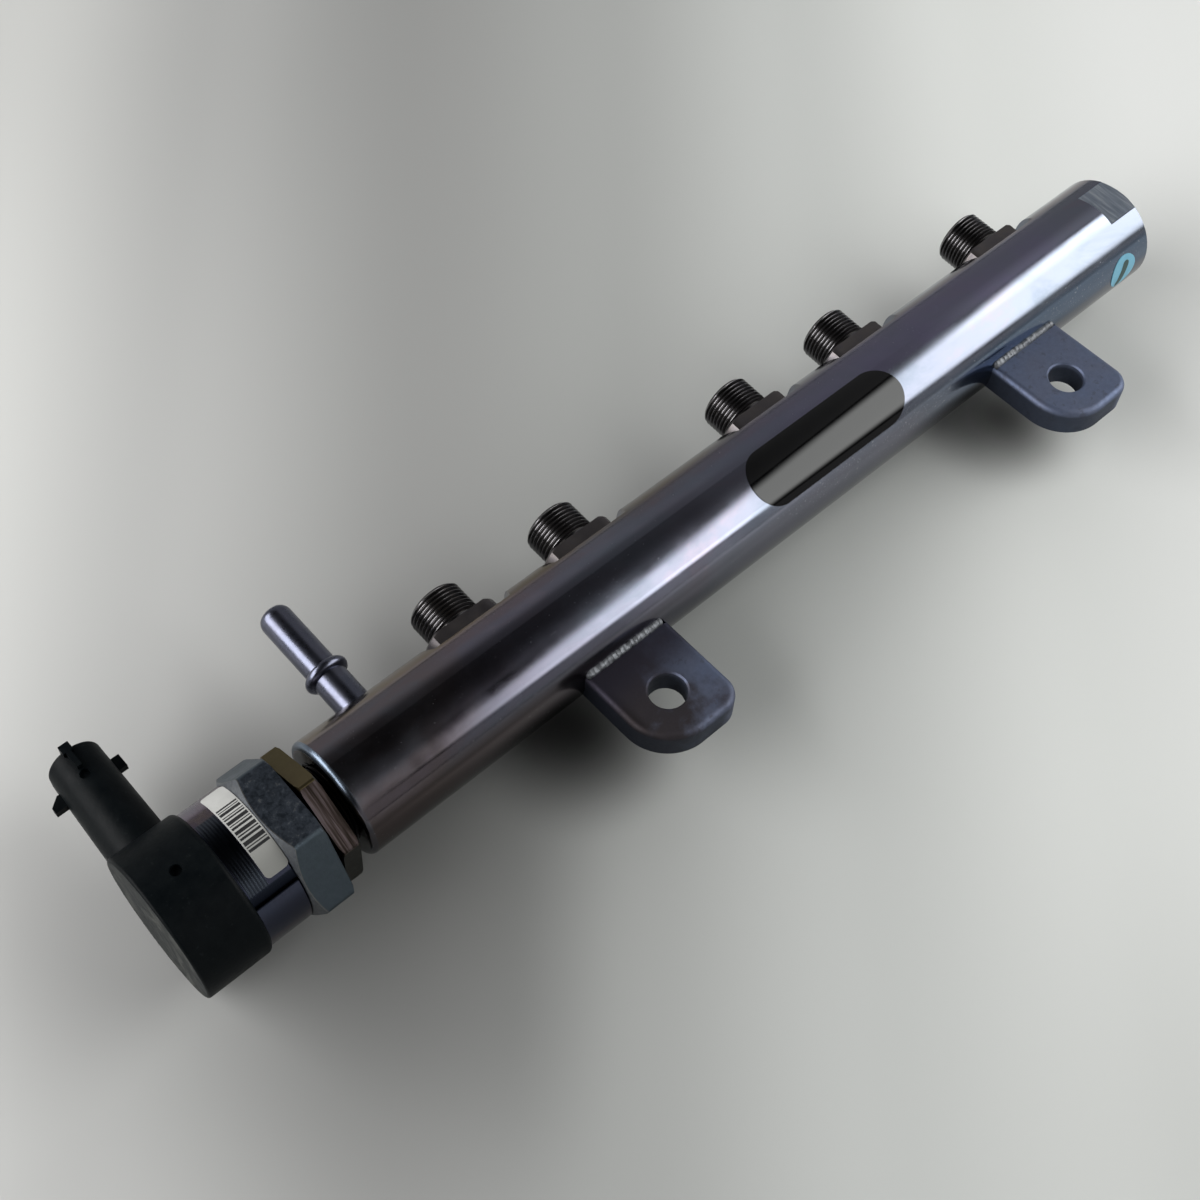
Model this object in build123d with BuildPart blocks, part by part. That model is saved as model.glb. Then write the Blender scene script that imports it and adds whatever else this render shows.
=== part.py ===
from build123d import *
import math
import os

# Engine fuel rail with five union studs, a return spigot, two welded lugs and a
# solenoid pressure valve screwed into one end. Millimetres, Z up.
# Origin: midway between the two lug holes, on the face the lugs are bolted down on.
# The rail runs along X, its valve at the -X end. The studs point along +Y.

# Rail tube
tube_od = 29.0
tube_length = 261.4
bore_d = 10.0
bore_end_wall = 13.0
drill_point_rise = 0.6
mouth_d = 18.0
mouth_depth = 26.0
tube_chamfer = 1.2
tube_lip_round = 1.3
mouth_chamfer = 1.0

# Mounting lugs
lug_hole_d = 9.0
lug_pitch = 138.0
lug_station = 71.0
lug_left_of_hole = 11.9
lug_right_of_hole = 12.5
lug_thickness = 7.3
lug_hole_reach = 28.4
lug_edge_beyond_hole = 11.9
lug_corner_left = 12.0
lug_corner_right = 5.4
lug_top_round = 1.6
lug_hole_chamfer = 0.4
lug_seat_below_axis = 4.1
lug_inner_overlap = 6.0
weld_radius = 1.1
weld_end_gap = 0.6

# Union studs: four stations measured from the valve end of the tube, the last from
# its far end
port_1_station = 47.1
port_2_station = 81.8
port_3_station = 139.6
port_4_station = 174.7
port_5_from_far_end = 34.2
port_lift_deg = 2.6
port_seat_distance = 9.8
port_seat_half_length = 10.7
port_seat_end_slope = 28.0
port_flange_r = 10.4
port_flange_half_height = 7.0
port_flange_thickness = 4.7
port_flange_chamfer = 0.6
port_thread_d = 14.0
port_end_distance = 23.9
port_end_chamfer = 0.8
port_relief_depth = 0.7
port_relief_width = 1.0
port_passage_d = 3.0
port_cone_mouth_d = 9.0
port_cone_deg = 60.0

# Return spigot
spigot_station = 17.7
spigot_d = 7.9
spigot_root_d = 8.3
spigot_bore_d = 4.8
spigot_bead_d = 11.0
spigot_bead_width = 2.0
spigot_bead_distance = 24.8
spigot_end_distance = 47.4
spigot_tip_round = 1.4
spigot_root_distance = 11.0

# Milled reference flat at the blind end
end_flat_length = 11.0
end_flat_height = 13.25

# Rating plate and colour dot on the tube
plate_length = 50.0
plate_arc_deg = 60.0
plate_centre_station = 143.0
plate_centre_deg = 117.0
film = 0.15
dot_from_far_end = 11.2
dot_d = 9.6
dot_angle_deg = 171.0

# Lock nut
nut_flats = 28.5
nut_corner_r = 16.3
nut_thickness = 4.3
nut_gap_to_tube = 2.9
nut_turn_deg = 33.7
nut_face_drop = 0.6
nut_chamfer_rise = 0.6

# Valve body
hex_flats = 33.6
hex_edge_round = 1.6
hex_corner_r = 19.3
hex_thickness = 8.9
hex_gap_to_nut = 1.1
hex_turn_deg = 4.4
hex_left_drop = 2.9
hex_right_drop = 0.9
hex_chamfer_rise = 0.62
shank_clearance = 0.05
shank_thread_length = 11.5
shank_runout_chamfer = 0.3
shank_runout_width = 0.9
shank_runout_height = 0.8
oring_section_d = 1.9
oring_groove_width = 2.4
drain_groove_start = 15.2
drain_groove_width = 5.0
drain_groove_d = 13.6
drain_groove_slope = 0.4
drain_hole_d = 2.4
drain_hole_inset = 1.2
tip_land_d = 17.6
tip_end = 24.0
edge_seal_inner_d = 11.2
edge_seal_outer_d = 17.6
pole_d = 14.0
pole_length = 12.8
sleeve_wall = 0.6

# Ball valve inside the body
seat_d = 7.0
seat_start = 17.5
throttle_d = 1.2
seat_cone_mouth_d = 2.8
seat_cone_half_deg = 45.0
ball_d = 3.0
chamber_d = 6.0
chamber_start = 13.0
pin_d = 3.0
pin_clearance = 0.03
pin_nose_length = 1.0
pin_nose_drop = 0.6

# Armature and spring, left of the pole
air_gap = 0.35
armature_clearance = 0.1
armature_length = 7.0
armature_chamfer = 0.4
spring_pocket_d = 7.0
spring_pocket_depth = 4.0
spring_wire_d = 0.7
spring_mean_d = 5.2
spring_turns = 3.5
sleeve_end_gap = 1.3
sleeve_end_thickness = 1.0
sleeve_chamfer = 0.6

# Magnet: shell, back plate, bobbin and coil
shell_d = 33.0
shell_exposed = 10.5
shell_inner_d = 27.4
shell_tail_d = 30.4
shell_tail_length = 11.8
shell_floor = 2.0
shell_chamfer = 0.4
shell_slot_width = 2.7
shell_slot_depth = 0.9
shell_slot_deg = 141.5
back_plate_thickness = 1.6
bobbin_barrel = 0.9
bobbin_flange = 1.1
bobbin_clearance = 0.1
coil_outer_d = 25.6

# Moulded housing with its plug socket
housing_d = 34.8
housing_length = 16.0
housing_round_inner = 1.2
housing_round_outer = 0.7
socket_end = 42.6
socket_base = 7.0
socket_width_base = 13.8
socket_width_tip = 12.2
socket_height = 15.2
socket_shift_base = -36.5
socket_shift_tip = -35.6
socket_wall = 1.5
socket_depth = 13.0
socket_tip_round = 0.8
latch_depth_right = 2.1
latch_depth_left = 3.2
latch_end_depth = 0.9
latch_height = 1.8
latch_start = 34.8
latch_length = 3.4
latch_crest_length = 1.5
key_width = 1.2
key_head_width = 2.4
key_height = 1.3
key_root = 2.0
key_shift = -0.4
key_start = 36.6
key_length = 6.5
key_head_length = 2.2
socket_dot_d = 2.3
socket_dot_depth = 0.8
socket_dot_reach = 35.0
socket_dot_shift = -0.5
gate_hole_d = 2.6
gate_hole_depth = 1.2
contact_width = 2.4
contact_thickness = 0.8
contact_pitch = 5.0
contact_start = 17.6
contact_end = 39.0
contact_tip_chamfer = 0.24

# Bar-code strip on the shell
strip_start = 22.75
strip_width = 5.5
strip_from_deg = 42.0
strip_sweep_deg = 90.5

# Derived places
tube_r = tube_od / 2
tube_left = -(lug_station + lug_pitch / 2)
axis_y = lug_hole_reach
axis_z = lug_seat_below_axis
lift = math.radians(port_lift_deg)
out_y = math.cos(lift)
out_z = math.sin(lift)
tube_axis = Axis((0, axis_y, axis_z), (1, 0, 0))
mouth_r = mouth_d / 2
port_5_station = tube_length - port_5_from_far_end
port_stations = [port_1_station, port_2_station, port_3_station, port_4_station, port_5_station]
dot_station = tube_length - dot_from_far_end


def at(station):
    return tube_left + station


def across(station):
    # plane square to the tube; local x is world Y, local y is world Z
    return Plane(origin=(at(station), axis_y, axis_z), x_dir=(0, 1, 0), z_dir=(1, 0, 0))


def outward(station, distance):
    # plane square to a port direction, its normal pointing away from the tube
    return Plane(
        origin=(at(station), axis_y + distance * out_y, axis_z + distance * out_z),
        x_dir=(1, 0, 0),
        z_dir=(0, out_y, out_z),
    )


def port_section(station):
    # plane holding a port's centre line; local x runs outward from the tube axis
    return Plane(
        origin=(at(station), axis_y, axis_z),
        x_dir=(0, out_y, out_z),
        z_dir=(0, out_z, -out_y),
    )


def port_axis(station):
    return Axis((at(station), axis_y, axis_z), (0, out_y, out_z))


def facing(station, degrees, distance):
    # plane tangent to a cylinder about the tube axis, at an angle from +Y toward +Z
    a = math.radians(degrees)
    return Plane(
        origin=(at(station), axis_y + distance * math.cos(a), axis_z + distance * math.sin(a)),
        x_dir=(1, 0, 0),
        z_dir=(0, math.cos(a), math.sin(a)),
    )


# half section through the tube axis; local x is the station, local y the radius
section = Plane(origin=(tube_left, axis_y, axis_z), x_dir=(1, 0, 0), z_dir=(0, -1, 0))

os.makedirs("parts", exist_ok=True)

# The tube: thick wall, deep bore closed at the far end, counterbored mouth
bore_r = bore_d / 2
bore_end = tube_length - bore_end_wall
with BuildPart() as rail_tube:
    with BuildSketch(section) as s:
        with BuildLine() as l:
            RadiusArc((0, tube_r - tube_lip_round), (tube_lip_round, tube_r), tube_lip_round)
            Polyline(
                (tube_lip_round, tube_r),
                (tube_length - tube_chamfer, tube_r),
                (tube_length, tube_r - tube_chamfer),
                (tube_length, 0),
                (bore_end + bore_r * drill_point_rise, 0),
                (bore_end, bore_r),
                (mouth_depth, bore_r),
                (mouth_depth, mouth_r),
                (mouth_chamfer, mouth_r),
                (0, mouth_r + mouth_chamfer),
                (0, tube_r - tube_lip_round),
            )
        make_face()
    revolve(axis=tube_axis)
    for station in port_stations:
        with BuildSketch(outward(station, port_seat_distance)) as s:
            Rectangle(2 * port_seat_half_length, tube_od)
        extrude(amount=tube_r, taper=-port_seat_end_slope, mode=Mode.SUBTRACT)
        with BuildSketch(outward(station, 0)) as s:
            Circle(port_passage_d / 2)
        extrude(amount=tube_r, mode=Mode.SUBTRACT)
    with BuildSketch(outward(spigot_station, spigot_root_distance)) as s:
        Circle(spigot_root_d / 2)
    extrude(amount=tube_r, mode=Mode.SUBTRACT)
    with BuildSketch(outward(spigot_station, 0)) as s:
        Circle(spigot_bore_d / 2)
    extrude(amount=tube_r, mode=Mode.SUBTRACT)
    with BuildSketch(facing(tube_length - end_flat_length / 2, 90 + port_lift_deg, end_flat_height)) as s:
        Rectangle(end_flat_length, tube_od)
    extrude(amount=tube_r, mode=Mode.SUBTRACT)
rail_tube.part.label = "rail_tube"
export_step(rail_tube.part, "parts/rail_tube.step")

# The studs: a flange with two flats on the tube's milled seat, a union thread
# and a sealing cone that leads down to the drilled passage
port_passage_r = port_passage_d / 2
port_thread_r = port_thread_d / 2
port_neck = port_seat_distance + port_flange_thickness
port_cone_r = port_cone_mouth_d / 2
port_cone_depth = (port_cone_r - port_passage_r) / math.tan(math.radians(port_cone_deg / 2))
for number, station in enumerate(port_stations, start=1):
    with BuildPart() as port_stud:
        with BuildSketch(port_section(station)) as s:
            with BuildLine() as l:
                Polyline(
                    (port_seat_distance, port_passage_r),
                    (port_seat_distance, port_flange_r),
                    (port_neck - port_flange_chamfer, port_flange_r),
                    (port_neck, port_flange_r - port_flange_chamfer),
                    (port_neck, port_thread_r - port_relief_depth),
                    (port_neck + port_relief_width, port_thread_r - port_relief_depth),
                    (port_neck + port_relief_width + port_relief_depth, port_thread_r),
                    (port_end_distance - port_end_chamfer, port_thread_r),
                    (port_end_distance, port_thread_r - port_end_chamfer),
                    (port_end_distance, port_cone_r),
                    (port_end_distance - port_cone_depth, port_passage_r),
                    close=True,
                )
            make_face()
        revolve(axis=port_axis(station))
        with BuildSketch(outward(station, port_seat_distance)) as s:
            Rectangle(4 * port_flange_r, 4 * port_flange_r)
            Rectangle(4 * port_flange_r, 2 * port_flange_half_height, mode=Mode.SUBTRACT)
        extrude(amount=port_flange_thickness, mode=Mode.SUBTRACT)
    port_stud.part.label = f"port_stud_{number}"
    export_step(port_stud.part, f"parts/port_stud_{number}.step")

# The return spigot with its retaining bead, let into the tube wall
spigot_r = spigot_d / 2
spigot_root_r = spigot_root_d / 2
spigot_bore_r = spigot_bore_d / 2
bead_half = spigot_bead_width / 2
bead_r = spigot_bead_d / 2
with BuildPart() as return_spigot:
    with BuildSketch(port_section(spigot_station)) as s:
        with BuildLine() as l:
            Line((spigot_root_distance, spigot_bore_r), (spigot_root_distance, spigot_root_r))
            Line((spigot_root_distance, spigot_root_r), (spigot_bead_distance - bead_half, spigot_root_r))
            ThreePointArc(
                (spigot_bead_distance - bead_half, spigot_root_r),
                (spigot_bead_distance, bead_r),
                (spigot_bead_distance + bead_half, spigot_r),
            )
            Line(
                (spigot_bead_distance + bead_half, spigot_r),
                (spigot_end_distance - spigot_tip_round, spigot_r),
            )
            RadiusArc(
                (spigot_end_distance - spigot_tip_round, spigot_r),
                (spigot_end_distance, spigot_r - spigot_tip_round),
                spigot_tip_round,
            )
            Line(
                (spigot_end_distance, spigot_r - spigot_tip_round),
                (spigot_end_distance, spigot_bore_r),
            )
            Line((spigot_end_distance, spigot_bore_r), (spigot_root_distance, spigot_bore_r))
        make_face()
    revolve(axis=port_axis(spigot_station))
return_spigot.part.label = "return_spigot"
export_step(return_spigot.part, "parts/return_spigot.step")

# The lugs: flat plates with one large and one small outer corner, their inner
# edge cut to the tube, the upper outer edge rolled over. A weld bead fills a
# groove along the corner above and below each lug.
lug_outer = -lug_edge_beyond_hole
lug_inner = axis_y - tube_r + lug_inner_overlap
lug_left = -lug_left_of_hole
lug_right = lug_right_of_hole
lug_width = lug_left_of_hole + lug_right_of_hole
weld_heights = (lug_thickness - axis_z, -axis_z)
weld_length = lug_width - 2 * weld_end_gap
for number, side in enumerate((-1, 1), start=1):
    hole_x = side * lug_pitch / 2
    hole_station = lug_station + (side + 1) * lug_pitch / 2
    weld_plane = across(hole_station - lug_left_of_hole + weld_end_gap)
    with BuildPart() as lug:
        with BuildSketch(Plane(origin=(hole_x, 0, 0))) as s:
            with BuildLine() as l:
                Line((lug_left, lug_inner), (lug_left, lug_outer + lug_corner_left))
                RadiusArc(
                    (lug_left, lug_outer + lug_corner_left),
                    (lug_left + lug_corner_left, lug_outer),
                    -lug_corner_left,
                )
                Line((lug_left + lug_corner_left, lug_outer), (lug_right - lug_corner_right, lug_outer))
                RadiusArc(
                    (lug_right - lug_corner_right, lug_outer),
                    (lug_right, lug_outer + lug_corner_right),
                    -lug_corner_right,
                )
                Line((lug_right, lug_outer + lug_corner_right), (lug_right, lug_inner))
                Line((lug_right, lug_inner), (lug_left, lug_inner))
            make_face()
        extrude(amount=lug_thickness)
        rolled = lug.faces().sort_by(Axis.Z)[-1].edges().filter_by(
            lambda e: e.center().Y < lug_outer + lug_corner_right
        )
        fillet(rolled, radius=lug_top_round)
        with BuildSketch(across(hole_station - lug_width)) as s:
            Circle(tube_r)
        extrude(amount=2 * lug_width, mode=Mode.SUBTRACT)
        with BuildSketch(weld_plane) as s:
            for height in weld_heights:
                with Locations((-math.sqrt(tube_r**2 - height**2), height)):
                    Circle(weld_radius)
        extrude(amount=weld_length, mode=Mode.SUBTRACT)
        with BuildSketch(Plane(origin=(hole_x, 0, 0))) as s:
            Circle(lug_hole_d / 2)
        extrude(amount=lug_thickness, mode=Mode.SUBTRACT)
        hole_rims = lug.edges().filter_by(GeomType.CIRCLE).filter_by(
            lambda e: abs(e.radius - lug_hole_d / 2) < 0.01 and abs(e.arc_center.Y) < 0.01
        )
        chamfer(hole_rims, length=lug_hole_chamfer)
    lug.part.label = f"mounting_lug_{number}"
    export_step(lug.part, f"parts/mounting_lug_{number}.step")

    for place, height in zip(("top", "bottom"), weld_heights):
        with BuildPart() as weld:
            with BuildSketch(weld_plane) as s:
                with Locations((-math.sqrt(tube_r**2 - height**2), height)):
                    Circle(weld_radius)
                Circle(tube_r, mode=Mode.SUBTRACT)
            extrude(amount=weld_length)
        weld.part.label = f"lug_{number}_weld_{place}"
        export_step(weld.part, f"parts/lug_{number}_weld_{place}.step")

# The plate on the tube: a thin film cut from a sleeve that lies on the tube
plate_half_height = tube_r * math.sin(math.radians(plate_arc_deg / 2))
with BuildPart() as rating_plate:
    with BuildSketch(across(plate_centre_station - plate_length)) as s:
        Circle(tube_r + film)
        Circle(tube_r, mode=Mode.SUBTRACT)
    extrude(amount=2 * plate_length)
    with BuildSketch(facing(plate_centre_station, plate_centre_deg, 0)) as s:
        SlotOverall(plate_length, 2 * plate_half_height)
    extrude(amount=tube_od, mode=Mode.INTERSECT)
rating_plate.part.label = "rating_plate"
export_step(rating_plate.part, "parts/rating_plate.step")

with BuildPart() as colour_dot:
    with BuildSketch(across(dot_station - dot_d)) as s:
        Circle(tube_r + film)
        Circle(tube_r, mode=Mode.SUBTRACT)
    extrude(amount=2 * dot_d)
    with BuildSketch(facing(dot_station, dot_angle_deg, 0)) as s:
        Circle(dot_d / 2)
    extrude(amount=tube_od, mode=Mode.INTERSECT)
colour_dot.part.label = "colour_dot"
export_step(colour_dot.part, "parts/colour_dot.step")

# The lock nut that jams against the valve's hexagon
nut_right = -nut_gap_to_tube
nut_left = nut_right - nut_thickness
nut_face_r = nut_corner_r - nut_face_drop
with BuildPart() as lock_nut:
    with BuildSketch(across(nut_left)) as s:
        RegularPolygon(nut_flats / 2, 6, major_radius=False, rotation=nut_turn_deg)
    extrude(amount=nut_thickness)
    with BuildSketch(section) as s:
        with BuildLine() as l:
            Polyline(
                (nut_left, mouth_r),
                (nut_left, nut_face_r),
                (nut_left + nut_face_drop * nut_chamfer_rise, nut_corner_r),
                (nut_right - nut_face_drop * nut_chamfer_rise, nut_corner_r),
                (nut_right, nut_face_r),
                (nut_right, mouth_r),
                close=True,
            )
        make_face()
    revolve(axis=tube_axis, mode=Mode.INTERSECT)
lock_nut.part.label = "lock_nut"
export_step(lock_nut.part, "parts/lock_nut.step")

# The valve body: hexagon, screwed shank with seal and drain grooves, and the
# pole that reaches into the coil
hex_right = nut_left - hex_gap_to_nut
hex_left = hex_right - hex_thickness
shank_r = mouth_r - shank_clearance
oring_r = oring_section_d / 2
oring_centre_r = mouth_r - oring_r
oring_left = shank_thread_length + shank_runout_width
oring_right = oring_left + oring_groove_width
oring_station = (oring_left + oring_right) / 2
groove_r = mouth_r - oring_section_d
runout_r = groove_r + shank_runout_height
tip_r = tip_land_d / 2
drain_end = drain_groove_start + drain_groove_width
pole_r = pole_d / 2
pole_left = hex_left - pole_length
pin_r = pin_d / 2
pin_bore_r = pin_r + pin_clearance
chamber_r = chamber_d / 2
seat_r = seat_d / 2
sleeve_inner_r = pole_r - sleeve_wall
drain_hole_x = at(drain_groove_start + drain_hole_inset)
with BuildPart() as valve_body:
    with BuildSketch(across(hex_left)) as s:
        RegularPolygon(hex_flats / 2, 6, major_radius=False, rotation=hex_turn_deg)
        fillet(s.vertices(), radius=hex_edge_round)
    extrude(amount=hex_thickness)
    with BuildSketch(section) as s:
        with BuildLine() as l:
            Polyline(
                (hex_left, 0),
                (hex_left, hex_corner_r - hex_left_drop),
                (hex_left + hex_left_drop * hex_chamfer_rise, hex_corner_r),
                (hex_right - hex_right_drop * hex_chamfer_rise, hex_corner_r),
                (hex_right, hex_corner_r - hex_right_drop),
                (hex_right, 0),
                close=True,
            )
        make_face()
    revolve(axis=tube_axis, mode=Mode.INTERSECT)
    with BuildSketch(section) as s:
        with BuildLine() as l:
            Polyline(
                (pole_left, 0),
                (pole_left, sleeve_inner_r),
                (pole_left + pole_length / 2, sleeve_inner_r),
                (pole_left + pole_length / 2, pole_r),
                (hex_left, pole_r),
                (hex_right, shank_r),
                (shank_thread_length, shank_r),
                (shank_thread_length + shank_runout_chamfer, runout_r),
                (oring_left, runout_r),
                (oring_left, groove_r),
                (oring_right, groove_r),
                (oring_right, tip_r),
                (drain_groove_start, tip_r),
                (drain_groove_start + drain_groove_slope, drain_groove_d / 2),
                (drain_end - drain_groove_slope, drain_groove_d / 2),
                (drain_end, tip_r),
                (tip_end, tip_r),
                (tip_end, 0),
                close=True,
            )
        make_face()
    revolve(axis=tube_axis)
    with BuildSketch(section) as s:
        with BuildLine() as l:
            Polyline(
                (pole_left, 0),
                (pole_left, pin_bore_r),
                (chamber_start, pin_bore_r),
                (chamber_start, chamber_r),
                (seat_start, chamber_r),
                (seat_start, seat_r),
                (tip_end, seat_r),
                (tip_end, 0),
                close=True,
            )
        make_face()
    revolve(axis=tube_axis, mode=Mode.SUBTRACT)
    with BuildSketch(
        Plane(origin=(drain_hole_x, axis_y, axis_z), x_dir=(1, 0, 0), z_dir=(0, out_y, out_z)),
        Plane(origin=(drain_hole_x, axis_y, axis_z), x_dir=(1, 0, 0), z_dir=(0, -out_z, out_y)),
    ) as s:
        Circle(drain_hole_d / 2)
    extrude(amount=tip_r, both=True, mode=Mode.SUBTRACT)
valve_body.part.label = "valve_body"
export_step(valve_body.part, "parts/valve_body.step")

# Seals of the screwed-in shank
with BuildPart() as body_oring:
    with BuildSketch(section) as s:
        with Locations((oring_station, oring_centre_r)):
            Circle(oring_r)
    revolve(axis=tube_axis)
body_oring.part.label = "body_oring"
export_step(body_oring.part, "parts/body_oring.step")

with BuildPart() as edge_seal:
    with BuildSketch(across(tip_end)) as s:
        Circle(edge_seal_outer_d / 2)
        Circle(edge_seal_inner_d / 2, mode=Mode.SUBTRACT)
    extrude(amount=mouth_depth - tip_end)
edge_seal.part.label = "edge_seal"
export_step(edge_seal.part, "parts/edge_seal.step")

# Seat insert with the throttle drilling and the cone the ball closes
cone_tan = math.tan(math.radians(seat_cone_half_deg))
cone_depth = (seat_cone_mouth_d - throttle_d) / 2 / cone_tan
with BuildPart() as valve_seat:
    with BuildSketch(section) as s:
        with BuildLine() as l:
            Polyline(
                (seat_start, seat_cone_mouth_d / 2),
                (seat_start, seat_r),
                (tip_end, seat_r),
                (tip_end, throttle_d),
                (tip_end - throttle_d / 2, throttle_d / 2),
                (seat_start + cone_depth, throttle_d / 2),
                close=True,
            )
        make_face()
    revolve(axis=tube_axis)
valve_seat.part.label = "valve_seat"
export_step(valve_seat.part, "parts/valve_seat.step")

ball_r = ball_d / 2
cone_apex = seat_start + cone_depth + throttle_d / 2 / cone_tan
ball_station = cone_apex - ball_r / math.sin(math.radians(seat_cone_half_deg))
with BuildPart() as valve_ball:
    with Locations((at(ball_station), axis_y, axis_z)):
        Sphere(ball_r)
valve_ball.part.label = "valve_ball"
export_step(valve_ball.part, "parts/valve_ball.step")

# Pin that presses the ball on its seat, and the armature fixed to its far end
armature_right = pole_left - air_gap
armature_left = armature_right - armature_length
armature_r = sleeve_inner_r - armature_clearance
pin_right = ball_station - ball_r
pin_left = armature_left + spring_pocket_depth
with BuildPart() as valve_pin:
    with BuildSketch(section) as s:
        with BuildLine() as l:
            Polyline(
                (pin_left, 0),
                (pin_left, pin_r),
                (pin_right - pin_nose_length, pin_r),
                (pin_right, pin_r - pin_nose_drop),
                (pin_right, 0),
                close=True,
            )
        make_face()
    revolve(axis=tube_axis)
valve_pin.part.label = "valve_pin"
export_step(valve_pin.part, "parts/valve_pin.step")

spring_pocket_r = spring_pocket_d / 2
with BuildPart() as armature:
    with BuildSketch(section) as s:
        with BuildLine() as l:
            Polyline(
                (armature_right, pin_r),
                (armature_right, armature_r - armature_chamfer),
                (armature_right - armature_chamfer, armature_r),
                (armature_left + armature_chamfer, armature_r),
                (armature_left, armature_r - armature_chamfer),
                (armature_left, spring_pocket_r),
                (armature_left + spring_pocket_depth, spring_pocket_r),
                (armature_left + spring_pocket_depth, pin_r),
                close=True,
            )
        make_face()
    revolve(axis=tube_axis)
armature.part.label = "armature"
export_step(armature.part, "parts/armature.step")

# Pressure-tight sleeve, a thin cup slid over the pole
sleeve_left = armature_left - sleeve_end_gap
sleeve_right = pole_left + pole_length / 2
with BuildPart() as armature_sleeve:
    with BuildSketch(section) as s:
        with BuildLine() as l:
            Polyline(
                (sleeve_left - sleeve_end_thickness, 0),
                (sleeve_left - sleeve_end_thickness, pole_r - sleeve_chamfer),
                (sleeve_left - sleeve_end_thickness + sleeve_chamfer, pole_r),
                (sleeve_right, pole_r),
                (sleeve_right, sleeve_inner_r),
                (sleeve_left, sleeve_inner_r),
                (sleeve_left, 0),
                close=True,
            )
        make_face()
    revolve(axis=tube_axis)
armature_sleeve.part.label = "armature_sleeve"
export_step(armature_sleeve.part, "parts/armature_sleeve.step")

# Closing spring between the sleeve's end and the armature
spring_r = spring_mean_d / 2
wire_r = spring_wire_d / 2
spring_left = sleeve_left + wire_r
spring_span = armature_left + spring_pocket_depth - wire_r - spring_left
with BuildPart() as closing_spring:
    with BuildLine() as l:
        Helix(
            pitch=spring_span / spring_turns,
            height=spring_span,
            radius=spring_r,
            center=(at(spring_left), axis_y, axis_z),
            direction=(1, 0, 0),
        )
    with BuildSketch(Plane(origin=l.line @ 0, z_dir=l.line % 0)) as s:
        Circle(wire_r)
    sweep(path=l.line)
closing_spring.part.label = "closing_spring"
export_step(closing_spring.part, "parts/closing_spring.step")

# Magnet shell: a steel cup with a slot along its outside
shell_r = shell_d / 2
shell_inner_r = shell_inner_d / 2
shell_tail_r = shell_tail_d / 2
shell_step = hex_left - shell_exposed
shell_left = shell_step - shell_tail_length
with BuildPart() as magnet_shell:
    with BuildSketch(section) as s:
        with BuildLine() as l:
            Polyline(
                (hex_left, pole_r),
                (hex_left, shell_r - shell_chamfer),
                (hex_left - shell_chamfer, shell_r),
                (shell_step, shell_r),
                (shell_step, shell_tail_r),
                (shell_left, shell_tail_r),
                (shell_left, shell_inner_r),
                (hex_left - shell_floor, shell_inner_r),
                (hex_left - shell_floor, pole_r),
                close=True,
            )
        make_face()
    revolve(axis=tube_axis)
    with BuildSketch(facing((hex_left + shell_step) / 2, shell_slot_deg, shell_r - shell_slot_depth)) as s:
        Rectangle(shell_exposed, shell_slot_width)
    extrude(amount=shell_slot_depth * 2, mode=Mode.SUBTRACT)
magnet_shell.part.label = "magnet_shell"
export_step(magnet_shell.part, "parts/magnet_shell.step")

# Back plate that closes the magnet behind the coil
plate_right = shell_left + back_plate_thickness
with BuildPart() as back_plate:
    with BuildSketch(across(shell_left)) as s:
        Circle(shell_inner_r)
        Circle(pole_r, mode=Mode.SUBTRACT)
    extrude(amount=back_plate_thickness)
back_plate.part.label = "back_plate"
export_step(back_plate.part, "parts/back_plate.step")

# Bobbin and the winding on it
bobbin_right = hex_left - shell_floor
bobbin_left = plate_right
bobbin_inner_r = pole_r + bobbin_clearance
barrel_r = bobbin_inner_r + bobbin_barrel
bobbin_outer_r = shell_inner_r - bobbin_clearance
with BuildPart() as coil_bobbin:
    with BuildSketch(section) as s:
        with BuildLine() as l:
            Polyline(
                (bobbin_left, bobbin_inner_r),
                (bobbin_left, bobbin_outer_r),
                (bobbin_left + bobbin_flange, bobbin_outer_r),
                (bobbin_left + bobbin_flange, barrel_r),
                (bobbin_right - bobbin_flange, barrel_r),
                (bobbin_right - bobbin_flange, bobbin_outer_r),
                (bobbin_right, bobbin_outer_r),
                (bobbin_right, bobbin_inner_r),
                close=True,
            )
        make_face()
    revolve(axis=tube_axis)
coil_bobbin.part.label = "coil_bobbin"
export_step(coil_bobbin.part, "parts/coil_bobbin.step")

with BuildPart() as coil_winding:
    with BuildSketch(across(bobbin_left + bobbin_flange)) as s:
        Circle(coil_outer_d / 2)
        Circle(barrel_r, mode=Mode.SUBTRACT)
    extrude(amount=bobbin_right - bobbin_left - 2 * bobbin_flange)
coil_winding.part.label = "coil_winding"
export_step(coil_winding.part, "parts/coil_winding.step")

# Moulded housing: a round cap over the magnet and a tapered plug socket that
# grows out of its side, with a T-shaped key on top and a latch ramp each side
housing_r = housing_d / 2
housing_right = shell_step
housing_left = housing_right - housing_length


def socket_plane(reach, shift):
    # plane square to world Y; local x is world X, local y is world Z
    return Plane(
        origin=(tube_left + shift, axis_y + reach, axis_z),
        x_dir=(1, 0, 0),
        z_dir=(0, -1, 0),
    )


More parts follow.
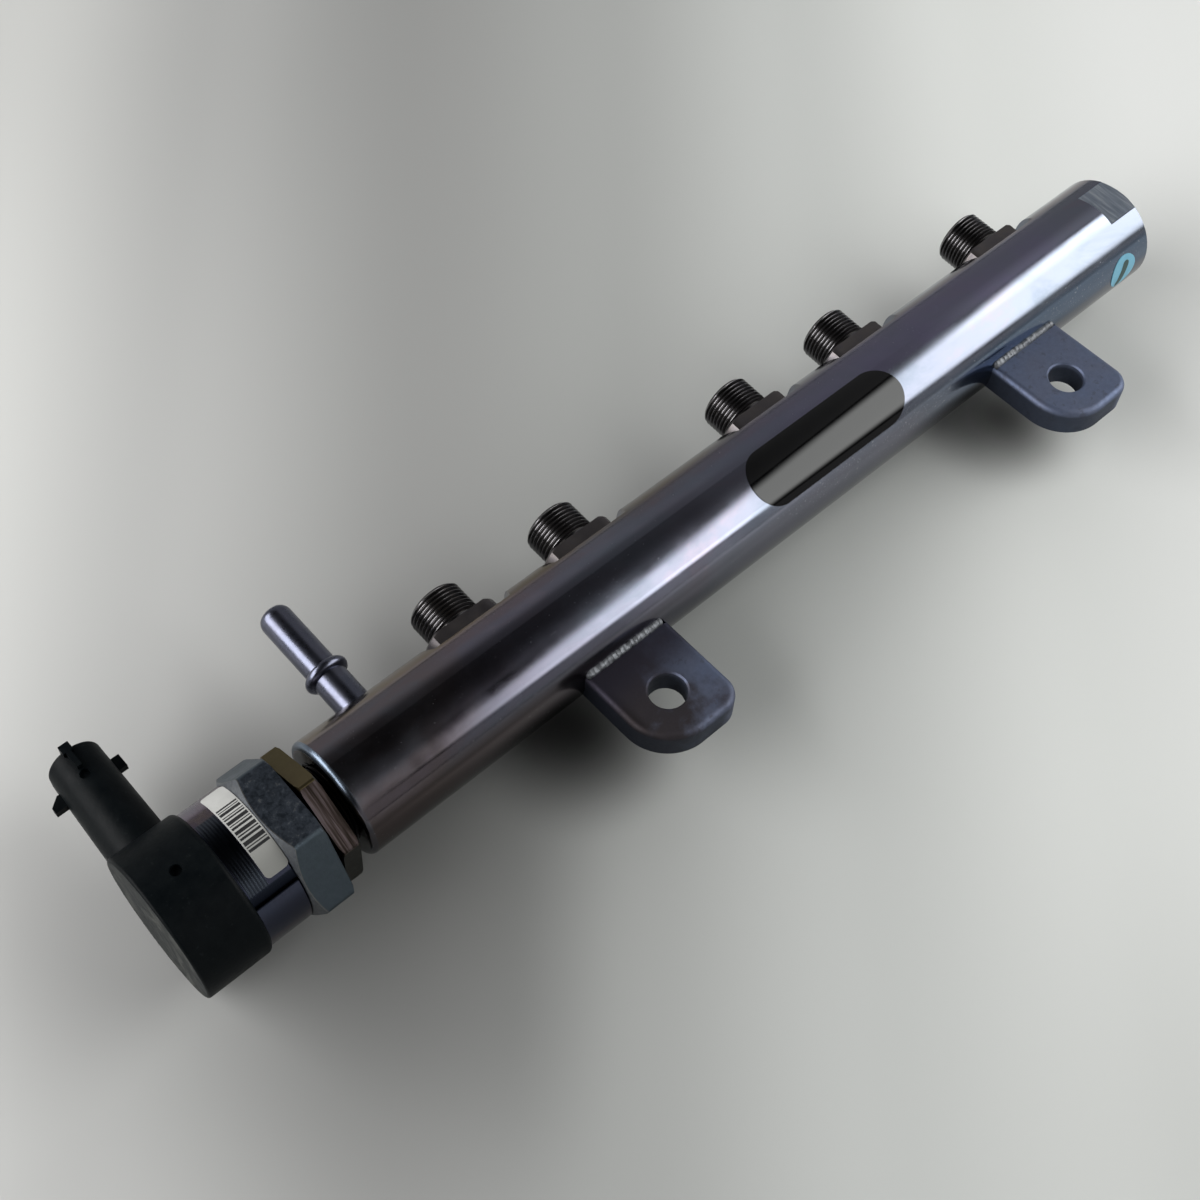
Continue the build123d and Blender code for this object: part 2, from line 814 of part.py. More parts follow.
with BuildPart() as valve_housing:
    with BuildSketch(section) as s:
        with BuildLine() as l:
            Line((housing_left, 0), (housing_left, housing_r - housing_round_outer))
            RadiusArc(
                (housing_left, housing_r - housing_round_outer),
                (housing_left + housing_round_outer, housing_r),
                housing_round_outer,
            )
            Line(
                (housing_left + housing_round_outer, housing_r),
                (housing_right - housing_round_inner, housing_r),
            )
            RadiusArc(
                (housing_right - housing_round_inner, housing_r),
                (housing_right, housing_r - housing_round_inner),
                housing_round_inner,
            )
            Line((housing_right, housing_r - housing_round_inner), (housing_right, 0))
            Line((housing_right, 0), (housing_left, 0))
        make_face()
    revolve(axis=tube_axis)
    with BuildSketch(socket_plane(socket_base, socket_shift_base)) as s:
        SlotOverall(socket_height, socket_width_base, rotation=90)
    with BuildSketch(socket_plane(socket_end, socket_shift_tip)) as s:
        SlotOverall(socket_height, socket_width_tip, rotation=90)
    loft()
    tip_edges = valve_housing.faces().sort_by(Axis.Y)[-1].edges()
    fillet(tip_edges, radius=socket_tip_round)
    # T-shaped key on top
    with BuildSketch(
        Plane(origin=(tube_left + socket_shift_tip, axis_y, axis_z + socket_height / 2 - key_root))
    ) as s:
        with Locations((key_shift, key_start + key_length / 2)):
            Rectangle(key_width, key_length)
        with Locations((key_shift, key_start + key_length - key_head_length / 2)):
            Rectangle(key_head_width, key_head_length)
    extrude(amount=key_root + key_height)
    # latch ramps left and right
    with BuildSketch(
        Plane(origin=(tube_left + socket_shift_tip, axis_y, axis_z - latch_height / 2))
    ) as s:
        with BuildLine() as l:
            Polyline(
                (0, latch_start),
                (socket_width_tip / 2 + latch_depth_right, latch_start),
                (socket_width_tip / 2 + latch_depth_right, latch_start + latch_length),
                (-socket_width_tip / 2 - latch_end_depth, latch_start + latch_length),
                (-socket_width_tip / 2 - latch_depth_left, latch_start + latch_crest_length),
                (-socket_width_tip / 2 - latch_depth_left, latch_start),
                close=True,
            )
        make_face()
    extrude(amount=latch_height)
    # open plug socket
    with BuildSketch(socket_plane(socket_end, socket_shift_tip)) as s:
        SlotOverall(
            socket_height - 2 * socket_wall,
            socket_width_tip - 2 * socket_wall,
            rotation=90,
        )
    extrude(amount=socket_depth, mode=Mode.SUBTRACT)
    # room for the magnet
    with BuildSketch(section) as s:
        with BuildLine() as l:
            Polyline(
                (sleeve_left - sleeve_end_thickness, 0),
                (sleeve_left - sleeve_end_thickness, pole_r),
                (shell_left, pole_r),
                (shell_left, shell_tail_r),
                (housing_right, shell_tail_r),
                (housing_right, 0),
                close=True,
            )
        make_face()
    revolve(axis=tube_axis, mode=Mode.SUBTRACT)
    # blind gate mark on the crown and a blind dot on the socket's upper side
    with BuildSketch(facing((housing_left + housing_right) / 2, 90, housing_r - gate_hole_depth)) as s:
        Circle(gate_hole_d / 2)
    extrude(amount=gate_hole_depth * 2, mode=Mode.SUBTRACT)
    with BuildSketch(
        Plane(
            origin=(
                tube_left + socket_shift_tip + socket_dot_shift,
                axis_y + socket_dot_reach,
                axis_z + socket_height / 2 - socket_dot_depth,
            )
        )
    ) as s:
        Circle(socket_dot_d / 2)
    extrude(amount=socket_dot_depth * 2, mode=Mode.SUBTRACT)
    # slots the two contacts are moulded into
    with BuildSketch(socket_plane(contact_end, socket_shift_tip)) as s:
        with GridLocations(contact_pitch, contact_pitch, 1, 2):
            Rectangle(contact_width, contact_thickness)
    extrude(amount=contact_end - contact_start, mode=Mode.SUBTRACT)
valve_housing.part.label = "valve_housing"
export_step(valve_housing.part, "parts/valve_housing.step")

# The two flat contacts
for name, place in (("upper", 1), ("lower", -1)):
    with BuildPart() as contact:
        with BuildSketch(socket_plane(contact_end, socket_shift_tip)) as s:
            with Locations((0, place * contact_pitch / 2)):
                Rectangle(contact_width, contact_thickness)
        extrude(amount=contact_end - contact_start)
        tip = contact.faces().sort_by(Axis.Y)[-1].edges().filter_by(Axis.X)
        chamfer(tip, length=contact_tip_chamfer)
    contact.part.label = f"contact_{name}"
    export_step(contact.part, f"parts/contact_{name}.step")

# Strip wrapped part of the way round the magnet shell
with BuildPart() as code_strip:
    with BuildSketch(across(-strip_start)) as s:
        with BuildLine() as l:
            inner = CenterArc((0, 0), shell_r, strip_from_deg, strip_sweep_deg)
            outer = CenterArc((0, 0), shell_r + film, strip_from_deg, strip_sweep_deg)
            Line(inner @ 0, outer @ 0)
            Line(inner @ 1, outer @ 1)
        make_face()
    extrude(amount=strip_width)
code_strip.part.label = "code_strip"
export_step(code_strip.part, "parts/code_strip.step")
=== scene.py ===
import math

import bpy
from mathutils import Matrix, Vector, noise


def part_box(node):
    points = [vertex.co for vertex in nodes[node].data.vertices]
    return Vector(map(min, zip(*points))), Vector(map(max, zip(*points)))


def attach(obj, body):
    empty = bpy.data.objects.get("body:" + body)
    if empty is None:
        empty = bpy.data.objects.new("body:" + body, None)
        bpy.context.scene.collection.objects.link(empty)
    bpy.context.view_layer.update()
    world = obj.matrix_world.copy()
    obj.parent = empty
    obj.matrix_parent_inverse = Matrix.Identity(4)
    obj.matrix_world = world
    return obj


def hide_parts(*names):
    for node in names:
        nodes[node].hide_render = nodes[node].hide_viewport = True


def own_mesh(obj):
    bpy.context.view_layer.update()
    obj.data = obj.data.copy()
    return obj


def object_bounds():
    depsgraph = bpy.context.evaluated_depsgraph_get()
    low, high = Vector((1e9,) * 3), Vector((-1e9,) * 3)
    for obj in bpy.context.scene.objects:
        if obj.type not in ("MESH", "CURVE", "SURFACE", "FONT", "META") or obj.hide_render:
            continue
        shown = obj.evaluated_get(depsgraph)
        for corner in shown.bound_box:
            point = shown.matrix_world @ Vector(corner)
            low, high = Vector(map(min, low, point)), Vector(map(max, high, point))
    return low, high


# Meshes are worked out in millimetres in the part's frame and made in metres.
MM = 0.001
AXIS_Y = 28.4
AXIS_Z = 4.1
TUBE_LEFT = -140.0
TUBE_RADIUS = 14.5
PORT_LIFT = math.radians(2.6)
STUD_STATIONS = (47.1, 81.8, 139.6, 174.7, 227.2)
THREAD_PITCH = 1.04

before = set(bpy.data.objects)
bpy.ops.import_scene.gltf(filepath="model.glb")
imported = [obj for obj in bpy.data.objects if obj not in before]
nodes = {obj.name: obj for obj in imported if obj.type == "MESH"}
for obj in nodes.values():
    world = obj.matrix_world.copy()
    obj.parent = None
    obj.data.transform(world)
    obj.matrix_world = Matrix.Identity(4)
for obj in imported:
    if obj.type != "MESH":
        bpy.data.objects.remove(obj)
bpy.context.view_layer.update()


# Meshes
def on_tube(station, radius, degrees):
    """Point at a radius and angle about the tube axis, the angle from +Y toward +Z."""
    a = math.radians(degrees)
    return (TUBE_LEFT + station, AXIS_Y + radius * math.cos(a), AXIS_Z + radius * math.sin(a))


def port_point(station, distance, across, upward):
    """Point at a distance out of a port; across runs along the tube, upward square to both."""
    return (
        TUBE_LEFT + station + across,
        AXIS_Y + distance * math.cos(PORT_LIFT) - upward * math.sin(PORT_LIFT),
        AXIS_Z + distance * math.sin(PORT_LIFT) + upward * math.cos(PORT_LIFT),
    )


def ring_angles(around):
    """The angles of a ring's points, in radians."""
    return [2 * math.pi * j / around for j in range(around)]


def build(name, points, faces, materials, sharp=32.0, face_materials=None):
    """A mesh piece from points in millimetres, smooth but for edges over an angle."""
    mesh = bpy.data.meshes.new(name)
    mesh.from_pydata([tuple(c * MM for c in p) for p in points], [], faces)
    mesh.validate()
    for material in materials:
        mesh.materials.append(material)
    if face_materials is not None:
        mesh.polygons.foreach_set("material_index", face_materials)
    mesh.polygons.foreach_set("use_smooth", [True] * len(mesh.polygons))
    mesh.set_sharp_from_angle(angle=math.radians(sharp))
    mesh.update()
    piece = bpy.data.objects.new(name, mesh)
    bpy.context.scene.collection.objects.link(piece)
    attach(piece, "rail")
    return piece


def rings_to_faces(count, around, close=True):
    """Quads between successive rings of points, each ring closed on itself."""
    faces = []
    last = around if close else around - 1
    for i in range(count - 1):
        for j in range(last):
            k = (j + 1) % around
            faces.append((i * around + j, i * around + k, (i + 1) * around + k, (i + 1) * around + j))
    return faces


def end_faces(count, around):
    """The two faces that close a run of rings at its ends."""
    first = tuple(range(around - 1, -1, -1))
    last = tuple((count - 1) * around + j for j in range(around))
    return [first, last]


# Materials
class Nodes:
    """Short calls for a material's node tree."""

    def __init__(self, name):
        self.material = bpy.data.materials.new(name)
        self.material.use_nodes = True
        self.tree = self.material.node_tree
        self.shader = self.tree.nodes["Principled BSDF"]
        self.place = self.new("ShaderNodeTexCoord").outputs["Object"]

    def new(self, kind):
        return self.tree.nodes.new(kind)

    def put(self, socket, value):
        if isinstance(value, bpy.types.NodeSocket):
            self.tree.links.new(value, socket)
        else:
            socket.default_value = value

    def set(self, **inputs):
        """Values or links for the shader's own sockets."""
        for key, value in inputs.items():
            self.put(self.shader.inputs[key.replace("_", " ")], value)

    def stretched(self, scale):
        node = self.new("ShaderNodeMapping")
        self.put(node.inputs["Vector"], self.place)
        node.inputs["Scale"].default_value = scale
        return node.outputs["Vector"]

    def noise(self, scale, detail=3.0, rough=0.5, stretch=None, distortion=0.0):
        """Noise of 0 to 1, scaled along each axis if a stretch is given."""
        node = self.new("ShaderNodeTexNoise")
        settings = {"Scale": scale, "Detail": detail, "Roughness": rough, "Distortion": distortion}
        for key, value in settings.items():
            node.inputs[key].default_value = value
        self.put(node.inputs["Vector"], self.stretched(stretch) if stretch else self.place)
        return node.outputs["Fac"]

    def ramp(self, value, stops, smooth=False):
        """Colours that follow one another as a value rises through the stops."""
        node = self.new("ShaderNodeValToRGB")
        if smooth:
            node.color_ramp.interpolation = "EASE"
        elements = node.color_ramp.elements
        while len(elements) < len(stops):
            elements.new(0.5)
        for element, (at, colour) in zip(elements, stops):
            element.position = at
            element.color = (*colour, 1.0)
        self.put(node.inputs["Fac"], value)
        return node.outputs["Color"]

    def mix(self, factor, a, b, blend="MIX"):
        node = self.new("ShaderNodeMix")
        node.data_type = "RGBA"
        node.blend_type = blend
        self.put(node.inputs["Factor"], factor)
        self.put(node.inputs["A"], a if isinstance(a, bpy.types.NodeSocket) else (*a, 1.0))
        self.put(node.inputs["B"], b if isinstance(b, bpy.types.NodeSocket) else (*b, 1.0))
        return node.outputs["Result"]

    def span(self, value, low, high, to_low, to_high, smooth=False):
        """A value of one range carried over to another, and held at its ends."""
        node = self.new("ShaderNodeMapRange")
        if smooth:
            node.interpolation_type = "SMOOTHSTEP"
        self.put(node.inputs["Value"], value)
        for key, number in zip(("From Min", "From Max", "To Min", "To Max"), (low, high, to_low, to_high)):
            node.inputs[key].default_value = number
        return node.outputs["Result"]

    def soft(self, value, low, high, to_low, to_high):
        """As span, easing in and out."""
        return self.span(value, low, high, to_low, to_high, smooth=True)

    def calc(self, kind, *numbers):
        node = self.new("ShaderNodeMath")
        node.operation = kind
        for socket, number in zip(node.inputs, numbers):
            self.put(socket, number)
        return node.outputs[0]

    def chained(self, kind, numbers):
        result = numbers[0]
        for number in numbers[1:]:
            result = self.calc(kind, result, number)
        return result

    def times(self, *numbers):
        return self.chained("MULTIPLY", numbers)

    def plus(self, *numbers):
        return self.chained("ADD", numbers)

    def minus(self, number, taken):
        return self.calc("SUBTRACT", number, taken)

    def coordinates(self):
        """X, Y and Z in metres."""
        split = self.new("ShaderNodeSeparateXYZ")
        self.put(split.inputs[0], self.place)
        return split.outputs["X"], split.outputs["Y"], split.outputs["Z"]

    def axial(self):
        """Station and radius in millimetres and angle in degrees about the tube axis."""
        x, y, z = self.coordinates()
        y = self.minus(y, AXIS_Y * MM)
        z = self.minus(z, AXIS_Z * MM)
        station = self.minus(self.calc("DIVIDE", x, MM), TUBE_LEFT)
        squares = self.plus(self.times(y, y), self.times(z, z))
        radius = self.calc("DIVIDE", self.calc("SQRT", squares), MM)
        angle = self.times(self.calc("ARCTAN2", z, y), 180.0 / math.pi)
        return station, radius, angle

    def full_turn(self, angle):
        """An angle of -180 to 180 degrees as one of 0 to 360."""
        return self.calc("MODULO", self.plus(angle, 360.0), 360.0)

    def within(self, value, low, high, edge):
        """1 between two values, falling to 0 over an edge outside them."""
        rise = self.soft(value, low - edge, low, 0.0, 1.0)
        fall = self.soft(value, high, high + edge, 1.0, 0.0)
        return self.times(rise, fall)

    def rings(self, station, pitch):
        """A wave of -1 to 1 along the axis."""
        return self.calc("SINE", self.times(station, 2.0 * math.pi / pitch))

    def bump(self, height, distance):
        node = self.new("ShaderNodeBump")
        node.inputs["Distance"].default_value = distance
        self.put(node.inputs["Height"], height)
        self.put(self.shader.inputs["Normal"], node.outputs["Normal"])

    def dimmed(self, colour, factor):
        """A colour times a factor."""
        factors = self.new("ShaderNodeCombineColor")
        for channel in ("Red", "Green", "Blue"):
            self.put(factors.inputs[channel], factor)
        return self.mix(1.0, colour, factors.outputs["Color"], blend="MULTIPLY")

    def distance_along(self, direction):
        """Distance from the frame's origin along a direction, in metres."""
        node = self.new("ShaderNodeVectorMath")
        node.operation = "DOT_PRODUCT"
        self.put(node.inputs[0], self.place)
        node.inputs[1].default_value = direction
        return node.outputs["Value"]

    def brushed_around(self):
        """Gloss that stretches as on a surface turned about the tube axis."""
        node = self.new("ShaderNodeTangent")
        node.direction_type = "RADIAL"
        node.axis = "X"
        self.put(self.shader.inputs["Tangent"], node.outputs["Tangent"])
        self.set(Anisotropic=0.5, Anisotropic_Rotation=0.25)


# Scales of noise for the grain of metal and its finer streaks.
GRAIN_SCALE = 2600.0
STREAK_SCALE = 900.0


def metal(name, base, tints, rough, streak=None, grain=0.00001, tint_scale=55.0, streaky=0.25):
    """Coated steel: slow tints over the base colour, streaky fine grain, uneven gloss."""
    base_at, tints_from, tints_range, darkening = 0.30, 0.42, 0.34, 0.6
    m = Nodes(name)
    slow = m.noise(tint_scale, 4.0, 0.55, distortion=0.4)
    stops = [(base_at, base)]
    for i, tint in enumerate(tints, start=1):
        stops.append((tints_from + tints_range * i / len(tints), tint))
    fine = m.noise(STREAK_SCALE, 3.0, 0.6, stretch=streak)
    darker = [c * darkening for c in base]
    m.colour = m.mix(m.span(fine, 0.3, 0.7, 0.0, streaky), m.ramp(slow, stops), darker)
    m.set(Base_Color=m.colour, Metallic=1.0, Roughness=m.span(m.plus(slow, fine), 0.7, 1.3, *rough))
    m.bump(m.noise(GRAIN_SCALE, 2.0, 0.5, stretch=streak), grain)
    return m


def plain(name, base, other, rough, scale=1500.0, grain=0.00002, sheen=0.5):
    """Matt or satin surface that is no bare metal: moulded grain and a faint mottle."""
    m = Nodes(name)
    mottle = m.noise(300.0, 4.0, 0.6)
    m.colour = m.ramp(mottle, [(0.3, base), (0.7, other)])
    gloss = m.span(mottle, 0.3, 0.7, *rough)
    m.set(Base_Color=m.colour, Metallic=0.0, Roughness=gloss, Specular_IOR_Level=sheen)
    m.bump(m.noise(scale, 3.0, 0.6), grain)
    return m


# Scale of a noise along each axis, so that its streaks run around the tube.
AROUND = (3.0, 0.35, 0.35)
# Near black, painted as shade inside the tube's mouth and in the gap around the valve's shank.
SHADE_BLACK = (0.004, 0.004, 0.006)

# Base tones of the tube from its valve end, at 0, to a station of 250 mm, at 1.
TUBE_TONES = [
    (0.0, (0.170, 0.146, 0.156)),
    (0.26, (0.166, 0.162, 0.206)),
    (0.5, (0.188, 0.196, 0.244)),
    (1.0, (0.200, 0.220, 0.268)),
]
CLOUD_BLUE = (0.138, 0.166, 0.205)
CLOUD_VIOLET = (0.232, 0.198, 0.240)

# Tints laid over them in turn, by angle about the axis, partly coating colour and partly painted reflection
# and shade: colour, angles with a soft edge, fades along the tube, clouding.
TUBE_TINTS_AND_REFLECTIONS = [
    ((0.165, 0.122, 0.070), (38.0, 50.0, 12.0), [(190.0, 60.0, 0.15, 1.0)], (0.35, 0.6, 0.45)),
    ((0.18, 0.138, 0.150), (56.0, 66.0, 8.0), [(200.0, 120.0, 0.0, 0.55)], (0.4, 0.6, 0.2)),
    # Painted shade on the underside, strongest toward the valve.
    ((0.115, 0.092, 0.088), (160.0, 200.0, 22.0), [(110.0, 30.0, 0.25, 0.85)], None),
    (
        (0.222, 0.200, 0.318),
        (54.0, 98.0, 8.0),
        [(90.0, 170.0, 0.0, 0.7), (222.0, 246.0, 1.0, 0.3)],
        (0.35, 0.6, 0.5),
    ),
    ((0.118, 0.092, 0.100), (44.0, 52.0, 5.0), [(110.0, 190.0, 0.0, 0.7)], None),
    # Painted reflection: a blue band under the highlight toward the far end.
    ((0.122, 0.162, 0.228), (148.0, 170.0, 8.0), [(165.0, 200.0, 0.0, 0.85)], None),
]

# Painted light and shade on the tube: a glow on its upper face, a pale edge above the highlight, a dark band
# below it and shade on its underside; angles with a soft edge, and the gain along the tube.
TUBE_LIGHT_AND_SHADE_BANDS = [
    ((60.0, 78.0, 8.0), (150.0, 60.0, 0.0, 0.26)),
    ((98.0, 104.0, 14.0), (165.0, 215.0, 0.0, 0.62)),
    ((150.0, 157.0, 6.0), (130.0, 40.0, -0.12, -0.46)),
    ((197.0, 360.0, 23.0), (130.0, 40.0, -0.50, -0.74)),
]

# The painted pale edge of the highlight along the tube's front: its angles, and how much paler it is along
# the tube.
FRONT_EDGE = (138.0, 146.0, 6.0)
EDGE_GAIN = (20.0, 60.0, 0.1, 0.45)
EDGE_PEAK = (88.0, 124.0, 22.0)
EDGE_PEAK_GAIN = 0.8

DUST = (0.30, 0.30, 0.31)
SPECK = (0.42, 0.44, 0.47)
SPECK_ANGLES = (140.0, 166.0, 8.0)
# The turned lip's paler tone, which fades with angle as a painted highlight.
LIP_TONE_AND_HIGHLIGHT = (0.150, 0.185, 0.235)
LIP_END = 1.1
LIP_RADIUS = 12.9
MOUTH_DEPTH = 28.0
MOUTH_RADIUS = 13.0
FLAT_FROM = 250.25
FLAT_ANGLES = (60.0, 125.0, 1.0)
FLAT_RADIUS = 14.40
MILLED_STROKES = [(0.32, (0.30, 0.345, 0.43)), (0.52, (0.42, 0.48, 0.57)), (0.68, (0.66, 0.71, 0.76))]


def make_tube_steel():
    """Dark coated tube, brown toward the valve and blue toward the far end, tan along its rear; its tints by
    angle are partly painted reflection, with painted highlight and shade bands along it and painted shade in
    its mouth.
    """
    m = Nodes("tube_steel")
    station, radius, angle = m.axial()
    turned = m.full_turn(angle)

    # Clouded tones, and tints by angle that are partly painted reflection and shade
    slow = m.noise(24.0, 4.0, 0.55, distortion=0.5)
    patch = m.noise(75.0, 5.0, 0.62)
    veil = m.noise(46.0, 6.0, 0.68, stretch=(0.45, 1.0, 1.0), distortion=0.8)
    along = m.plus(station, m.span(slow, 0.3, 0.7, -32.0, 32.0))
    colour = m.ramp(m.span(along, 0.0, 250.0, 0.0, 1.0), TUBE_TONES, smooth=True)
    colour = m.mix(m.soft(veil, 0.46, 0.66, 0.0, 0.50), colour, CLOUD_BLUE)
    colour = m.mix(m.soft(veil, 0.46, 0.34, 0.0, 0.48), colour, CLOUD_VIOLET)
    for tint, angles, fades, clouding in TUBE_TINTS_AND_REFLECTIONS:
        share = m.within(turned, *angles)
        for fade in fades:
            share = m.times(share, m.soft(station, *fade))
        if clouding:
            share = m.times(share, m.span(patch, *clouding, 1.0))
        colour = m.mix(share, colour, tint)

    # Painted highlight and shade bands
    # Painted pale edge under the highlight along the front.
    lift = m.plus(m.soft(station, *EDGE_GAIN), m.times(m.within(station, *EDGE_PEAK), EDGE_PEAK_GAIN))
    factor = m.plus(1.0, m.times(m.within(turned, *FRONT_EDGE), lift))
    for angles, gain in TUBE_LIGHT_AND_SHADE_BANDS:
        factor = m.times(factor, m.plus(1.0, m.times(m.within(turned, *angles), m.soft(station, *gain))))
    colour = m.dimmed(colour, factor)

    # Dust and specks
    spots = m.noise(2100.0, 2.0, 0.55)
    dust = m.span(spots, 0.71, 0.75, 0.0, 0.34)
    colour = m.mix(dust, colour, DUST)
    front = m.times(m.within(turned, *SPECK_ANGLES), m.soft(station, 110.0, 140.0, 0.0, 1.0))
    colour = m.mix(m.times(m.span(spots, 0.64, 0.68, 0.0, 0.5), front), colour, SPECK)

    # Painted shade in the mouth, its lip's paler tone with a painted highlight, and the flat milled at the
    # far end
    mouth = m.times(
        m.soft(radius, MOUTH_RADIUS, MOUTH_RADIUS - 0.6, 0.0, 1.0),
        m.soft(station, MOUTH_DEPTH + 2.0, MOUTH_DEPTH, 0.0, 1.0),
    )
    colour = m.mix(mouth, colour, SHADE_BLACK)
    lip = m.times(
        m.soft(station, LIP_END + 0.4, LIP_END, 0.0, 1.0),
        m.soft(radius, LIP_RADIUS, LIP_RADIUS + 0.3, 0.0, 1.0),
        m.soft(turned, 104.0, 136.0, 1.0, 0.25),
    )
    colour = m.mix(lip, colour, LIP_TONE_AND_HIGHLIGHT)
    milled = m.times(
        m.soft(station, FLAT_FROM, FLAT_FROM + 0.15, 0.0, 1.0),
        m.within(turned, *FLAT_ANGLES),
        m.soft(radius, FLAT_RADIUS + 0.05, FLAT_RADIUS, 0.0, 1.0),
    )
    strokes = m.noise(1100.0, 4.0, 0.65, stretch=(1.0, 0.10, 0.10))
    colour = m.mix(milled, colour, m.ramp(strokes, MILLED_STROKES))

    duller = m.plus(m.times(dust, 0.35), m.times(milled, 0.22), m.times(lip, 0.14))
    gloss = m.plus(m.span(m.plus(veil, patch), 0.75, 1.25, 0.11, 0.22), duller)
    m.set(Base_Color=colour, Metallic=1.0, Roughness=gloss)
    m.brushed_around()
    m.bump(m.noise(GRAIN_SCALE, 2.0, 0.5, stretch=AROUND), 0.000002)
    return m


def make_lug_steel():
    """Blue-grey forging, brown and dark toward the valve, with painted shade along the first lug's left edge,
    on it toward its weld and on the lugs' sides.
    """
    grey_fleck = (0.09, 0.092, 0.115)
    brown = (0.050, 0.041, 0.041)
    painted_rim_shade = (0.022, 0.018, 0.018)
    weld_shade = (0.040, 0.037, 0.052)
    side_shade = (0.030, 0.036, 0.050)
    lug_spacing = 138.0
    brown_from, brown_to, brown_drift = 66.0, 83.0, 9.0
    rim_at, rim_width = 60.5, 2.0
    m = metal(
        "lug_steel",
        (0.145, 0.176, 0.268),
        [(0.152, 0.172, 0.245), (0.138, 0.152, 0.215), (0.145, 0.182, 0.282)],
        (0.55, 0.66),
        tint_scale=75.0,
    )
    station, *_ = m.axial()
    _, y, z = m.coordinates()
    colour = m.mix(m.span(m.noise(420.0, 5.0, 0.7), 0.58, 0.64, 0.0, 0.5), m.colour, grey_fleck)
    cloud = m.noise(130.0, 4.0, 0.6)
    first_lug = m.soft(station, 120.0, 100.0, 0.0, 1.0)
    drift = m.plus(station, m.span(cloud, 0.3, 0.7, -brown_drift, brown_drift))
    toward_valve = m.soft(drift, brown_to, brown_from, 0.0, 0.92)
    colour = m.mix(m.times(first_lug, toward_valve), colour, brown)
    # Painted shade along the first lug's left edge.
    rim = m.soft(station, rim_at + rim_width, rim_at, 0.0, 0.55)
    colour = m.mix(m.times(first_lug, rim), colour, painted_rim_shade)
    # Painted shade on the first lug toward its weld.
    toward_weld = m.soft(m.plus(y, m.times(cloud, 0.004)), 0.001, 0.012, 0.0, 0.85)
    colour = m.mix(m.times(first_lug, toward_weld), colour, weld_shade)
    # Painted shade on the lugs' sides.
    on_lug = m.calc("MODULO", station, lug_spacing)
    side = m.times(m.soft(z, 0.0066, 0.0054, 0.0, 0.78), m.soft(on_lug, 79.0, 76.0, 0.25, 1.0))
    m.set(Base_Color=m.mix(side, colour, side_shade))
    return m


def make_nut_steel():
    """Olive plated nut whose foremost face shows pinkish turned lines, with painted shade underneath."""
    face_streaks = [
        (0.36, (0.026, 0.020, 0.017)),
        (0.5, (0.066, 0.050, 0.046)),
        (0.66, (0.145, 0.115, 0.120)),
    ]
    painted_underside_shade = (0.026, 0.026, 0.018)
    face_angles, underside_shade_angles, bore_radius = (95.5, 154.5, 0.5), (156.0, 260.0, 1.0), 13.9
    m = metal(
        "nut_olive",
        (0.122, 0.102, 0.052),
        [(0.140, 0.112, 0.060), (0.100, 0.088, 0.045)],
        (0.30, 0.42),
        tint_scale=140.0,
    )
    _, radius, angle = m.axial()
    turned = m.full_turn(angle)
    face = m.times(m.within(turned, *face_angles), m.soft(radius, bore_radius, bore_radius + 0.2, 0.0, 1.0))
    lines = m.noise(1500.0, 3.0, 0.6, stretch=(1.0, 0.05, 0.05))
    colour = m.mix(face, m.colour, m.ramp(lines, face_streaks))
    # Painted shade on the underside.
    m.set(Base_Color=m.mix(m.within(turned, *underside_shade_angles), colour, painted_underside_shade))
    m.bump(m.times(lines, face), 0.00003)
    return m


def make_body_steel():
    """Forged hexagon: dark and mottled above, paler in front and on its chamfer; its shank painted black as
    shade.
    """
    forge_scale = [
        (0.36, (0.022, 0.027, 0.035)),
        (0.50, (0.054, 0.063, 0.080)),
        (0.60, (0.072, 0.083, 0.104)),
        (0.68, (0.16, 0.17, 0.18)),
    ]
    scallop_tones = [(0.35, (0.13, 0.145, 0.17)), (0.65, (0.20, 0.215, 0.235))]
    worn_edge = (0.20, 0.19, 0.17)
    shank_rings = [(0.6, SHADE_BLACK), (1.0, (0.022, 0.019, 0.017))]
    cone_station, cone_radius, cone_slope = -17.2, 16.4, 0.62
    top_angles, scallop_from, shank_from, ring_pitch = (66.0, 122.0, 2.5), -15.5, -8.5, 1.0
    m = metal(
        "body_steel",
        (0.088, 0.110, 0.132),
        [(0.080, 0.100, 0.118), (0.100, 0.122, 0.142)],
        (0.42, 0.56),
        tint_scale=150.0,
    )
    station, radius, angle = m.axial()
    scale = m.noise(760.0, 5.0, 0.70, distortion=0.3)
    top = m.times(m.within(angle, *top_angles), 0.85)
    colour = m.mix(top, m.colour, m.ramp(scale, forge_scale))
    cone = m.plus(m.times(m.minus(station, cone_station), 1.0 / cone_slope), cone_radius)
    gap = m.calc("ABSOLUTE", m.minus(radius, cone))
    on_cone = m.soft(station, scallop_from + 0.3, scallop_from, 0.0, 1.0)
    scallop = m.times(m.soft(gap, 0.22, 0.08, 0.0, 1.0), on_cone)
    colour = m.mix(scallop, colour, m.ramp(scale, scallop_tones))
    worn = m.times(m.within(gap, 0.1, 0.3, 0.15), m.soft(station, -15.0, -15.4, 0.0, 0.5))
    colour = m.mix(worn, colour, worn_edge)
    # Painted shade: the shank in the gap is near black, with faint rings.
    shank = m.soft(station, shank_from, shank_from + 0.3, 0.0, 1.0)
    rings = m.rings(station, ring_pitch)
    colour = m.mix(shank, colour, m.ramp(m.span(rings, -1.0, 1.0, 0.0, 1.0), shank_rings))
    m.set(Base_Color=colour)
    m.bump(m.plus(m.noise(1300.0, 4.0, 0.65), m.times(shank, rings, 3.0)), 0.00006)
    return m


